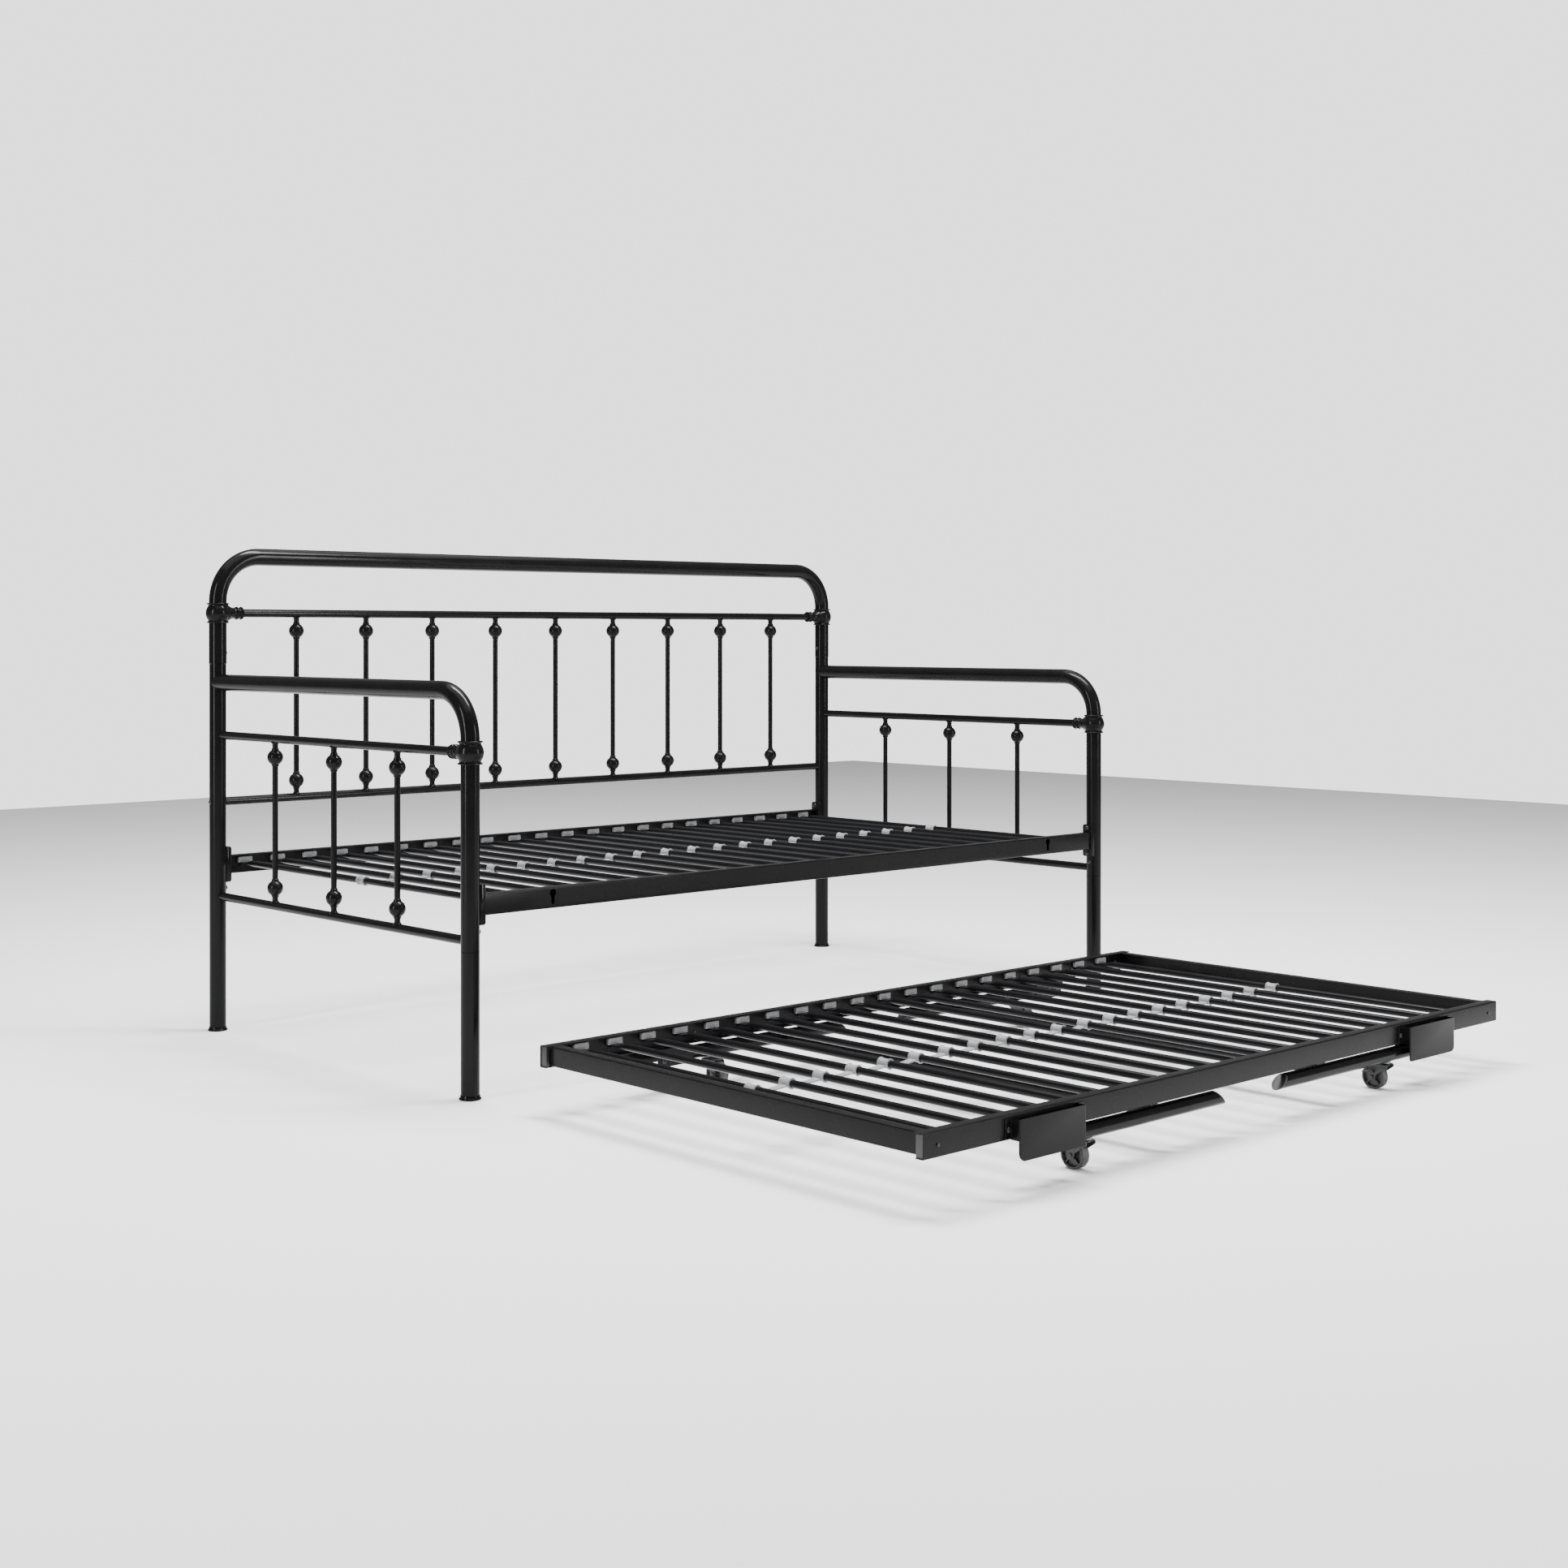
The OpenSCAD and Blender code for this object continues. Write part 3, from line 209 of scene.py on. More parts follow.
zinc = plated("zinc_plated_steel", "#5e6063", "#727578", 0.32, 1.0)
black_oxide = plated("black_oxide_steel", "#2a2a2b", "#383839", 0.32, 0.6)
fork_steel = plated("black_coated_pressed_fork_steel", "#242425", "#303031", 0.38, 0.2)
print("metals:", zinc.name, black_oxide.name, fork_steel.name)

# %% [markdown]
# The record names a material slot for each node. Every node of the frame gets the finish of its slot
# first, so nothing is left in a flat colour, whichever pieces are made again later.

# %% Dress the frame
finishes = {
    "frame_paint": tube_coat, "trundle_paint": tube_coat, "castings": cast_coat, "balls": cast_coat,
    "slats": slat_coat, "straps": grey_nylon, "slat_plugs": grey_nylon, "black_plastic": black_nylon,
    "dark_bolts": black_oxide, "zinc_steel": zinc, "fork_metal": fork_steel,
    "wheel_plastic": wheel_nylon, "pedal_plastic": black_nylon,
}
slot_of = {part["node"]: part["material_slot"] for part in frame["record"]["subparts"]}
body_of = {node: body for body, nodes in frame["record"]["behaviour"]["bodies"].items()
           for node in nodes}
for node, piece in frame["nodes"].items():
    piece.data.materials.clear()
    piece.data.materials.append(finishes[slot_of[node]])
print("dressed", len(frame["nodes"]), "nodes in", len(finishes), "finishes")

# %% [markdown]
# Most pieces below start as a flat outline or as a turned profile. `rounded` turns each corner of an
# outline into an arc, `prism` pushes an outline out to a length with softened ends, `lathe` turns a
# profile about Z, and `skin` joins a row of loops where the section changes. They give bmesh
# shapes, which a matrix then puts in place. Three matrices come back often enough to have names.

# %% Outlines, prisms and turned shapes
def rounded(corners, steps=4):
    """Closed outline in metres from corners in mm, each (x, y, radius)."""
    points = []
    count = len(corners)
    for i, (x, y, r) in enumerate(corners):
        b = Vector((x, y))
        if r == 0:
            points.append(b * MM)
            continue
        u = (Vector(corners[i - 1][:2]) - b).normalized()
        v = (Vector(corners[(i + 1) % count][:2]) - b).normalized()
        half = u.angle(v) / 2
        centre = b + (u + v).normalized() * (r / math.sin(half))
        a, c = b + u * (r / math.tan(half)) - centre, b + v * (r / math.tan(half)) - centre
        first = math.atan2(a.y, a.x)
        swing = (math.atan2(c.y, c.x) - first + math.pi) % (2 * math.pi) - math.pi
        for k in range(steps + 1):
            angle = first + swing * k / steps
            points.append((centre + r * Vector((math.cos(angle), math.sin(angle)))) * MM)
    return points


def block(left, low, right, high, foot, top=None, steps=4):
    """Outline of a rectangle in mm; foot and top are the radii of its lower and upper corners."""
    top = foot if top is None else top
    return rounded([(left, low, foot), (right, low, foot), (right, high, top),
                    (left, high, top)], steps)


def mirrored(half):
    """Turned profile that goes on as its own mirror image in height."""
    return half + [(r, -z) for r, z in reversed(half if half[-1][1] else half[:-1])]


def prism(outline, length, soft=0.0):
    """Outline pushed from z = 0 to length, with its end edges softened; all in metres."""
    bm = bmesh.new()
    low = [bm.verts.new((p.x, p.y, 0)) for p in outline]
    high = [bm.verts.new((p.x, p.y, length)) for p in outline]
    caps = [bm.faces.new(low), bm.faces.new(high)]
    for i in range(len(low)):
        j = (i + 1) % len(low)
        bm.faces.new((low[i], low[j], high[j], high[i]))
    bmesh.ops.recalc_face_normals(bm, faces=bm.faces)
    if soft:
        edges = [e for cap in caps for e in cap.edges]
        bmesh.ops.bevel(bm, geom=edges, offset=soft, segments=2, affect="EDGES", clamp_overlap=True)
    return bm


def lathe(profile, count=48, closed=False):
    """Shape turned about Z from (radius, height) pairs in mm; a radius of 0 is a pole."""
    bm = bmesh.new()
    turns = [2 * math.pi * i / count for i in range(count)]
    rings = [[bm.verts.new((0, 0, z * MM))] if r == 0 else
             [bm.verts.new((r * MM * math.cos(t), r * MM * math.sin(t), z * MM)) for t in turns]
             for r, z in profile]
    for low, high in zip(rings, rings[1:] + (rings[:1] if closed else [])):
        for i in range(count):
            j = (i + 1) % count
            ring = (low[i % len(low)], low[j % len(low)], high[j % len(high)], high[i % len(high)])
            bm.faces.new(list(dict.fromkeys(ring)))
    bmesh.ops.recalc_face_normals(bm, faces=bm.faces)
    return bm


def skin(loops):
    """Shape through loops of (x, y, z) points in metres, closed by its first and last loop."""
    bm = bmesh.new()
    rings = [[bm.verts.new(point) for point in loop] for loop in loops]
    for a, b in zip(rings, rings[1:]):
        for i in range(len(a)):
            j = (i + 1) % len(a)
            bm.faces.new((a[i], a[j], b[j], b[i]))
    bm.faces.new(rings[0])
    bm.faces.new(rings[-1])
    bmesh.ops.recalc_face_normals(bm, faces=bm.faces)
    return bm


def axes(x, y, z, at=(0, 0, 0)):
    """Matrix that sends X, Y and Z to the given directions and the origin to at."""
    turned = Matrix((Vector(x), Vector(y), Vector(z))).transposed().to_4x4()
    return Matrix.Translation(Vector(at)) @ turned


def upright(at=(0, 0, 0)):
    """Matrix for an outline that stands in X and Z and is pushed towards -Y."""
    return axes((1, 0, 0), (0, 0, 1), (0, -1, 0), at)


def along_x(at=(0, 0, 0), inward=1):
    """Matrix for an outline that stands in Y and Z and is pushed along X."""
    return axes((0, inward, 0), (0, 0, 1), (1, 0, 0), at)


def along_y(at=(0, 0, 0)):
    """Matrix that lays a turned shape along Y."""
    return axes((1, 0, 0), (0, 0, -1), (0, 1, 0), at)


def merge(shapes):
    """One bmesh from (bmesh, matrix) pairs; a mirrored shape gets its faces turned out again."""
    whole = bmesh.new()
    for bm, matrix in shapes:
        part = bm.copy()
        part.transform(matrix)
        if matrix.determinant() < 0:
            bmesh.ops.reverse_faces(part, faces=part.faces)
        mesh = bpy.data.meshes.new("part")
        part.to_mesh(mesh)
        whole.from_mesh(mesh)
        part.free()
        bpy.data.meshes.remove(mesh)
    return whole


square = block(0, 0, 20, 20, 3)
print("a 20 mm square with 3 mm corners has", len(square), "points")

# %% [markdown]
# A bmesh becomes an object here. Curved faces are shaded smooth and edges sharper than 35 degrees
# stay crisp. `settle` then gives a finished piece its material when one is passed, hands it to its
# body, and hides the node that it stands for.

# %% Objects from shapes
def crisp(mesh, angle=35):
    """Shades a mesh smooth but for edges sharper than an angle in degrees."""
    mesh.shade_smooth()
    mesh.set_sharp_from_angle(angle=math.radians(angle))


def make(name, bm, angle=35):
    """Object from a bmesh, smooth but for its sharp edges."""
    mesh = bpy.data.meshes.new(name)
    bm.to_mesh(mesh)
    bm.free()
    crisp(mesh, angle)
    piece = bpy.data.objects.new(name, mesh)
    bpy.context.scene.collection.objects.link(piece)
    return piece


def bake(piece):
    """Turns the modifiers of a piece into plain mesh."""
    bpy.context.view_layer.update()
    solved = piece.evaluated_get(bpy.context.evaluated_depsgraph_get())
    mesh = bpy.data.meshes.new_from_object(solved)
    piece.modifiers.clear()
    piece.data = mesh
    return piece


def settle(piece, body, material=None, nodes=()):
    """Gives a finished piece its material and body, and hides the nodes it stands for."""
    if material:
        piece.data.materials.clear()
        piece.data.materials.append(material)
    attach(piece, body)
    if nodes:
        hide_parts(*nodes)
    print(f"{piece.name}: {len(piece.data.polygons)} faces on {body}")


def discard(*pieces):
    """Removes helpers that were only copied or cut with."""
    for piece in pieces:
        bpy.data.objects.remove(piece)


def shape_of(piece):
    """The shape of a helper as a bmesh again; the helper is removed."""
    bm = bmesh.new()
    bm.from_mesh(piece.data)
    discard(piece)
    return bm


print("helpers ready")

# %% [markdown]
# Places come from the frame itself. A node such as the bolts holds many separate solids, and
# `solids` tells them apart by following shared points, then measures each one. A closed tube has a
# second skin inside, which is left out. Nothing has to be typed in twice, and the new pieces land
# where the old ones are.

# %% Measure the separate solids of a node
def solids(node):
    """(lowest corner, highest corner, points) of each separate solid of a node."""
    mesh = frame["nodes"][node].data
    label, parent, index = {}, [], []
    for v in mesh.vertices:
        key = tuple(round(c, 6) for c in v.co)
        if key not in label:
            label[key] = len(parent)
            parent.append(len(parent))
        index.append(label[key])

    def root(i):
        while parent[i] != i:
            parent[i] = parent[parent[i]]
            i = parent[i]
        return i

    for face in mesh.polygons:
        first = root(index[face.vertices[0]])
        for v in face.vertices[1:]:
            parent[root(index[v])] = first
    groups = {}
    for key, i in label.items():
        groups.setdefault(root(i), []).append(Vector(key))
    found = []
    for points in groups.values():
        low = Vector([min(p[a] for p in points) for a in range(3)])
        high = Vector([max(p[a] for p in points) for a in range(3)])
        found.append((low, high, points))

    def inside(s, t):
        return all(t[0][a] < s[0][a] and s[1][a] < t[1][a] for a in range(3))

    outer = [s for s in found if not any(inside(s, t) for t in found)]
    return sorted(outer, key=lambda s: tuple(round(c, 4) for c in s[0]))


bed_slat_solids = solids("bed_slats")
trundle_slat_solids = solids("trundle_slats")
print("slats:", len(bed_slat_solids), "and", len(trundle_slat_solids))

# %% [markdown]
# Two node trees do the repeating. **Row** puts copies of a piece on a line, by count and step, which
# is how slats sit on a bed. **Places** puts a copy on every point of a mesh, turned to the point's
# `facing` and scaled by its `size`, which suits bolts and balls. Both end by making the copies real
# and giving them their material.

# %% Trees for rows and places
def new_tree(name, inputs):
    """Node tree with named inputs; gives the tree, its input node and its input identifiers."""
    tree = bpy.data.node_groups.new(name, "GeometryNodeTree")
    ids = {title: tree.interface.new_socket(
        title, in_out="INPUT", socket_type="NodeSocket" + kind).identifier
           for title, kind in inputs}
    tree.interface.new_socket("Geometry", in_out="OUTPUT", socket_type="NodeSocketGeometry")
    return tree, add(tree, "NodeGroupInput"), ids


def close_tree(tree, geometry, material):
    """Ends a tree: copies are made real and get their material."""
    real = add(tree, "GeometryNodeRealizeInstances", {"Geometry": geometry})
    painted = add(tree, "GeometryNodeSetMaterial", {
        "Geometry": real.outputs[0], "Material": material})
    add(tree, "NodeGroupOutput", {"Geometry": painted.outputs[0]})


row_tree, given, row_ids = new_tree("row_of_copies", [
    ("Piece", "Object"), ("Count", "Int"), ("Start", "Vector"), ("Step", "Vector"),
    ("Finish", "Material")])
line = add(row_tree, "GeometryNodeMeshLine", {
    "Count": given.outputs["Count"], "Start Location": given.outputs["Start"],
    "Offset": given.outputs["Step"]})
source = add(row_tree, "GeometryNodeObjectInfo", {"Object": given.outputs["Piece"]})
copies = add(row_tree, "GeometryNodeInstanceOnPoints", {
    "Points": line.outputs["Mesh"], "Instance": source.outputs["Geometry"]})
close_tree(row_tree, copies.outputs[0], given.outputs["Finish"])

place_tree, given, place_ids = new_tree("copies_at_places", [
    ("Geometry", "Geometry"), ("Piece", "Object"), ("Finish", "Material")])
facing = add(place_tree, "GeometryNodeInputNamedAttribute", {"Name": "facing"},
             data_type="FLOAT_VECTOR")
size = add(place_tree, "GeometryNodeInputNamedAttribute", {"Name": "size"}, data_type="FLOAT")
turned = add(place_tree, "FunctionNodeAlignRotationToVector",
             {"Vector": facing.outputs["Attribute"]}, axis="Z")
source = add(place_tree, "GeometryNodeObjectInfo", {"Object": given.outputs["Piece"]})
copies = add(place_tree, "GeometryNodeInstanceOnPoints", {
    "Points": given.outputs["Geometry"], "Instance": source.outputs["Geometry"],
    "Rotation": turned.outputs["Rotation"], "Scale": size.outputs["Attribute"]})
close_tree(place_tree, copies.outputs[0], given.outputs["Finish"])
print("trees:", row_tree.name, place_tree.name)

# %% [markdown]
# A tree is only a recipe until an object wears it as a modifier. `grow` fills in the tree's inputs
# and then keeps the result as plain mesh, so that the piece can be moved and exported like any
# other. Handing each point its facing and size as attributes lets one tree serve every fastener.

# %% Grow a piece from a tree
def grow(name, tree, ids, values, mesh=None):
    """Object made by a tree, turned into plain mesh."""
    piece = bpy.data.objects.new(name, mesh or bpy.data.meshes.new(name))
    bpy.context.scene.collection.objects.link(piece)
    modifier = piece.modifiers.new("shape", "NODES")
    modifier.node_group = tree
    for title, value in values.items():
        modifier[ids[title]] = value
    return bake(piece)


def row(name, piece, count, start, step, material):
    """Copies of a piece on a line."""
    return grow(name, row_tree, row_ids, {
        "Piece": piece, "Count": count, "Start": start, "Step": step, "Finish": material})


def places(name, piece, points, material):
    """Copies of a piece at (place, facing, size) points."""
    mesh = bpy.data.meshes.new(name)
    mesh.from_pydata([p for p, _, _ in points], [], [])
    mesh.attributes.new("facing", "FLOAT_VECTOR", "POINT").data.foreach_set(
        "vector", [c for _, f, _ in points for c in f])
    mesh.attributes.new("size", "FLOAT", "POINT").data.foreach_set(
        "value", [s for _, _, s in points])
    return grow(name, place_tree, place_ids, {"Piece": piece, "Finish": material}, mesh)


print("row inputs:", sorted(row_ids))

# %% [markdown]
# ## The bent tubes
# The back panel and each arm are one tube, drawn round a bending die. A tree does the same: it takes
# the sharp path, rounds its corners with the die's radius, and sweeps a circle along it. The ends
# are made slightly smaller, which gives the fine line that a sleeve joint shows.

# %% Tree for a bent tube
tube_tree, given, tube_ids = new_tree("bent_tube", [
    ("Geometry", "Geometry"), ("Tube radius", "Float"), ("Bend radius", "Float"),
    ("Finish", "Material")])
path = add(tube_tree, "GeometryNodeMeshToCurve", {"Mesh": given.outputs["Geometry"]})
bent = add(tube_tree, "GeometryNodeFilletCurve", {
    "Curve": path.outputs[0], "Count": 24, "Radius": given.outputs["Bend radius"]}, mode="POLY")
ends = add(tube_tree, "GeometryNodeCurveEndpointSelection", {"Start Size": 1, "End Size": 1})
taper = add(tube_tree, "ShaderNodeMath", {0: ends.outputs["Selection"], 1: -0.05, 2: 1.0},
            operation="MULTIPLY_ADD")
circle = add(tube_tree, "GeometryNodeCurvePrimitiveCircle", {
    "Resolution": 56, "Radius": given.outputs["Tube radius"]})
swept = add(tube_tree, "GeometryNodeCurveToMesh", {
    "Curve": bent.outputs[0], "Profile Curve": circle.outputs[0], "Scale": taper.outputs[0],
    "Fill Caps": True})
close_tree(tube_tree, swept.outputs[0], given.outputs["Finish"])
print("tube inputs:", sorted(tube_ids))

# %% [markdown]
# The back panel's tube goes up one post, across the top and down the other. An arm's tube goes up
# its front post and back to the panel. Both are given by their sharp corners, measured from the
# frame, and the tree bends them.

# %% Back panel and arms
def bent_tube(name, corners, radius, bend, material):
    """Tube along sharp corners; a point 1 mm inside each end keeps the taper short."""
    first, last = Vector(corners[0]), Vector(corners[-1])
    inner = [first + (Vector(corners[1]) - first).normalized() * MM]
    outer = [last + (Vector(corners[-2]) - last).normalized() * MM]
    points = [first] + inner + [Vector(c) for c in corners[1:-1]] + outer + [last]
    mesh = bpy.data.meshes.new(name)
    mesh.from_pydata(points, [(i, i + 1) for i in range(len(points) - 1)], [])
    tube = grow(name, tube_tree, tube_ids, {
        "Tube radius": radius, "Bend radius": bend, "Finish": material}, mesh)
    crisp(tube.data)
    return tube


low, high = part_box("back_panel_tube")
back_r = (high.y - low.y) / 2
back_y = (high.y + low.y) / 2
post_x = high.x - back_r
top_z = high.z - back_r
panel = bent_tube("back_panel", [
    (-post_x, back_y, low.z), (-post_x, back_y, top_z), (post_x, back_y, top_z),
    (post_x, back_y, low.z)], back_r, 105 * MM, tube_coat)
settle(panel, "daybed", nodes=["back_panel_tube"])
for side, sign in (("left", -1), ("right", 1)):
    low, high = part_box(side + "_arm_tube")
    post_r = (high.x - low.x) / 2
    front_y = low.y + post_r
    x, top_z = sign * post_x, high.z - post_r
    arm = bent_tube(side + "_arm", [
        (x, front_y, low.z), (x, front_y, top_z), (x, back_y - 4 * MM, top_z)],
        post_r, 98 * MM, tube_coat)
    settle(arm, "daybed", nodes=[side + "_arm_tube"])
print("post axes at x", round(post_x, 4), "and y", round(front_y, 4), round(back_y, 4))

# %% [markdown]
# ## Slats
# A slat is a thin steel tube pressed flat at both ends, so that it can lie on a ledge inside the
# rail. The press leaves a smooth shoulder. The shape is drawn as rings along the slat that change
# from a circle to a flat oval, and the row tree repeats it at the slats' spacing.

# %% One slat
slat_r = 7.25


def slat_shape(low, high):
    """Slat along Y from its box: round in the middle and pressed flat at both ends."""
    flat_w, flat_t, flat_z = 12.0, 1.4, -1.4
    length = (high.y - low.y) / MM / 2
    stations = [(0.0, 1.0), (14.0, 1.0), (19.0, 0.96), (24.0, 0.82), (30.0, 0.5), (36.0, 0.18),
                (41.0, 0.04), (46.0, 0.0)]
    half = [(-length + d, press) for d, press in stations]
    loops = []
    for y, press in half + [(-y, press) for y, press in reversed(half)]:
        wide = slat_r + (flat_w - slat_r) * press
        tall = slat_r + (flat_t - slat_r) * press
        square = 1 - 0.5 * press
        loop = []
        for i in range(24):
            t = 2 * math.pi * i / 24
            c, s = math.cos(t), math.sin(t)
            x = wide * math.copysign(abs(c) ** square, c)
            z = tall * math.copysign(abs(s) ** square, s) + flat_z * press
            loop.append((x * MM, y * MM, z * MM))
        loops.append(loop)
    return skin(loops)


def slat_row(name, found, body, node):
    """All slats of one deck."""
    low, high, _ = found[0]
    piece = make("slat", slat_shape(low, high))
    start = (low + high) / 2
    start.z = high.z - slat_r * MM
    step = (found[-1][0] - found[0][0]) / (len(found) - 1)
    deck = row(name, piece, len(found), start, step, slat_coat)
    discard(piece)
    settle(deck, body, nodes=[node])
    return start, step


bed_start, bed_step = slat_row("daybed_slats", bed_slat_solids, "daybed", "bed_slats")
trundle_start, trundle_step = slat_row("trundle_deck_slats", trundle_slat_solids, "trundle",
                                       "trundle_slats")
print("slat steps in mm:", round(bed_step.x / MM, 2), round(trundle_step.x / MM, 2))

# %% [markdown]
# ## Slat plugs
# A grey nylon plug holds each flat end down on its ledge. It is a low block with rounded corners and
# a shallow pocket moulded into its face, so its wall stays thin and does not sink as it cools.

# %% Plugs at both ends of every slat
def plug_shape():
    """Plug 36 x 13 x 7 mm, lying along X with its face towards -Y and +Y, about its middle."""
    wide, tall, deep, edge = 18.0, 6.5, 3.5, 1.6
    bm = prism(block(-wide, -tall, wide, tall, 2, 3), 2 * deep * MM, 0.7 * MM)
    faces = sorted(bm.faces, key=lambda f: -f.calc_area())[:2]
    bmesh.ops.inset_individual(bm, faces=faces, thickness=edge * MM, depth=0.0)
    inner = sorted([f for f in bm.faces if abs(f.normal.z) > 0.99],
                   key=lambda f: -f.calc_area())[:2]
    bmesh.ops.inset_individual(bm, faces=inner, thickness=0.5 * MM, depth=-0.9 * MM)
    bm.transform(upright((0, deep * MM, 0)))
    return bm


def middles(node):
    """(middle, up, size 1) of every solid of a node."""
    return [((low + high) / 2, (0, 0, 1), 1.0) for low, high, _ in solids(node)]


plug = make("plug", plug_shape())
for name, body, node in (("daybed_slat_plugs", "daybed", "bed_slat_plugs"),
                         ("trundle_deck_plugs", "trundle", "trundle_slat_plugs")):
    settle(places(name, plug, middles(node), grey_nylon), body, nodes=[node])
discard(plug)

# %% [markdown]
# ## Centre strap
# A nylon strap runs down the middle of each deck and keeps the slats apart. It grips each slat with a
# round clip that has a raised rim at both ends, and a thin web sags a little between two clips. The
# clip is turned, and the web is a ribbon that follows a shallow curve.

# %% Clips and webs
def clip_shape():
    """Clip round a slat, 27 mm along Y, closed inside against the slat."""
    rim = [(7.3, -13.5), (9.6, -13.5), (10.4, -12.9), (10.5, -11.6), (10.0, -10.7), (9.2, -10.2),
           (9.0, -9.4)]
    bm = lathe(mirrored(rim), 32, closed=True)
    bm.transform(along_y())
    return bm


def web_shape(pitch):
    """Ribbon from one clip to the next, 18 mm wide and 2.6 mm thick, dipping in its middle."""
    reach = pitch / MM / 2 - 7.8
    loops = []
    for i in range(13):
        s = -1 + i / 6
        z = -3.0 - 3.2 * (1 - s * s)
        wide = 8.0 + 1.8 * s * s
        narrow = wide - 0.6
        section = [(-wide, z - 1.3), (-narrow, z - 1.5), (narrow, z - 1.5), (wide, z - 1.3),
                   (wide, z + 1.0), (narrow, z + 1.2), (-narrow, z + 1.2), (-wide, z + 1.0)]
        loops.append([(s * reach * MM, y * MM, h * MM) for y, h in section])
    return skin(loops)


for name, body, node, start, step, count in (
        ("daybed_strap", "daybed", "bed_slat_strap", bed_start, bed_step, len(bed_slat_solids)),
        ("trundle_strap", "trundle", "trundle_slat_strap", trundle_start, trundle_step,
         len(trundle_slat_solids))):
    clip = make("clip", clip_shape())
    web = make("web", web_shape(step.x), 50)
    clips = row(name + "_clips", clip, count, start, step, grey_nylon)
    webs = row(name + "_webs", web, count - 1, start + step / 2, step, grey_nylon)
    settle(clips, body, nodes=[node])
    settle(webs, body)
    discard(clip, web)

# %% [markdown]
# ## Balls and weld collars
# The balls are cast onto the spindles and have a small neck above and below. Where a spindle meets a
# rail the weld leaves a little flare. Both are turned profiles put at every place by the tree.

# %% Spindle balls
ball_r = 17.5
neck = [(0, 20.5), (6.8, 20.5), (7.6, 19.8), (7.8, 18.6), (7.9, 17.4)]
arc = [(ball_r * math.sin(math.radians(a)), ball_r * math.cos(math.radians(a)))
       for a in range(30, 151, 8)]
ball = make("ball", lathe(neck + arc + [(r, -z) for r, z in reversed(neck)], 40))
settle(places("turned_balls", ball, middles("spindle_balls"), cast_coat), "daybed",
       nodes=["spindle_balls"])
discard(ball)

# %% [markdown]
# A weld bead is a small ring of metal that has flowed outwards on the rail. A turned flare is put at
# both ends of every spindle, and the lower one faces up and the upper one faces down.

# %% Weld flares at the spindle ends
flare = make("flare", lathe([
    (6.0, 3.2), (6.5, 3.2), (6.8, 2.0), (7.6, 0.8), (8.8, -0.2), (9.4, -1.4), (9.0, -2.6),
    (6.0, -2.6)], 32, closed=True))
bead_z = 2.4 * MM
ends = []
for node in ("back_spindles", "arm_spindles"):
    for low, high, _ in solids(node):
        x, y = (low.x + high.x) / 2, (low.y + high.y) / 2
        ends += [((x, y, low.z + bead_z), (0, 0, 1), 1.0),
                 ((x, y, high.z - bead_z), (0, 0, -1), 1.0)]
settle(places("spindle_weld_flares", flare, ends, tube_coat), "daybed")
discard(flare)
print("weld flares:", len(ends))

# %% [markdown]
# ## Corner castings
# Where a small rail meets a post, molten metal is cast round both in a mould. It gives a ball between
# two flared rings, and a neck with two collars. Its edges are all soft. A turned ball and a turned
# neck are melted together by a fine voxel remesh and smoothed, which rounds every inner corner in
# the way cast metal does.

# %% Casting
ring = [(18.2, 23.5), (23.8, 23.5), (25.4, 22.9), (25.8, 21.9), (25.2, 20.8), (23.0, 19.8),
        (21.4, 18.8), (21.2, 17.9)]
bulge = [(math.sqrt(27.2 ** 2 - z * z), z) for z in (16.6, 14.5, 12, 9, 6, 3, 0)]
casting_body = lathe(mirrored(ring + bulge), 64, closed=True)
casting_neck = lathe([
    (9.2, 17), (21.5, 17), (19.6, 23), (16.4, 28), (13.6, 34), (12.4, 40), (12.6, 43.6),
    (14.4, 44.6), (15.3, 46.4), (15.3, 48.4), (14.3, 50.2), (12.4, 51.2), (12.0, 53.4),
    (12.4, 55.6), (14.3, 56.8), (15.3, 58.4), (15.2, 60.4), (13.8, 61.8), (11.2, 62.0),
    (9.2, 62.0)], 48, closed=True)
casting = make("casting", merge([
    (casting_body, Matrix()), (casting_neck, axes((0, 0, -1), (0, 1, 0), (1, 0, 0)))]))
remesh = casting.modifiers.new("melt", "REMESH")
remesh.mode = "VOXEL"
remesh.voxel_size = 1.15 * MM
melted = casting.modifiers.new("soften", "SMOOTH")
melted.factor = 0.5
melted.iterations = 5
cast_shape = shape_of(bake(casting))
low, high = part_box("back_upper_rail")
back_z = (low.z + high.z) / 2
arm_rail_r = 9.5 * MM
arm_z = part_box("arm_rails")[1].z - arm_rail_r
shapes = []
for sign in (-1, 1):
    for y, z, forward in ((back_y, back_z, Vector((-sign, 0, 0))),
                          (front_y, arm_z, Vector((0, 1, 0)))):
        sideways = Vector((0, 0, 1)).cross(forward)
        shapes.append((cast_shape, axes(forward, sideways, (0, 0, 1), (sign * post_x, y, z))))
settle(make("cast_corner_joints", merge(shapes), 180), "daybed", cast_coat,
       ["corner_castings"])

# %% [markdown]
# ## Feet
# Each screw-on leg stands in a flared foot, a pressed steel cup with a rolled lip at the floor.

# %% Flared feet
foot = make("foot", lathe([
    (0, 0.0), (20.6, 0.0), (22.0, 0.5), (22.5, 1.6), (22.4, 2.8), (21.6, 3.8), (20.6, 4.8),
    (20.1, 6.2), (20.0, 8.4), (19.6, 9.0), (19.0, 9.0), (18.6, 8.0), (18.4, 4.0), (0, 4.0)], 48))
stands = [((x, y, 0.0), up, size) for (x, y, _), up, size in middles("bed_feet")]
settle(places("flared_feet", foot, stands, tube_coat), "daybed",
       nodes=["bed_feet"])
discard(foot)

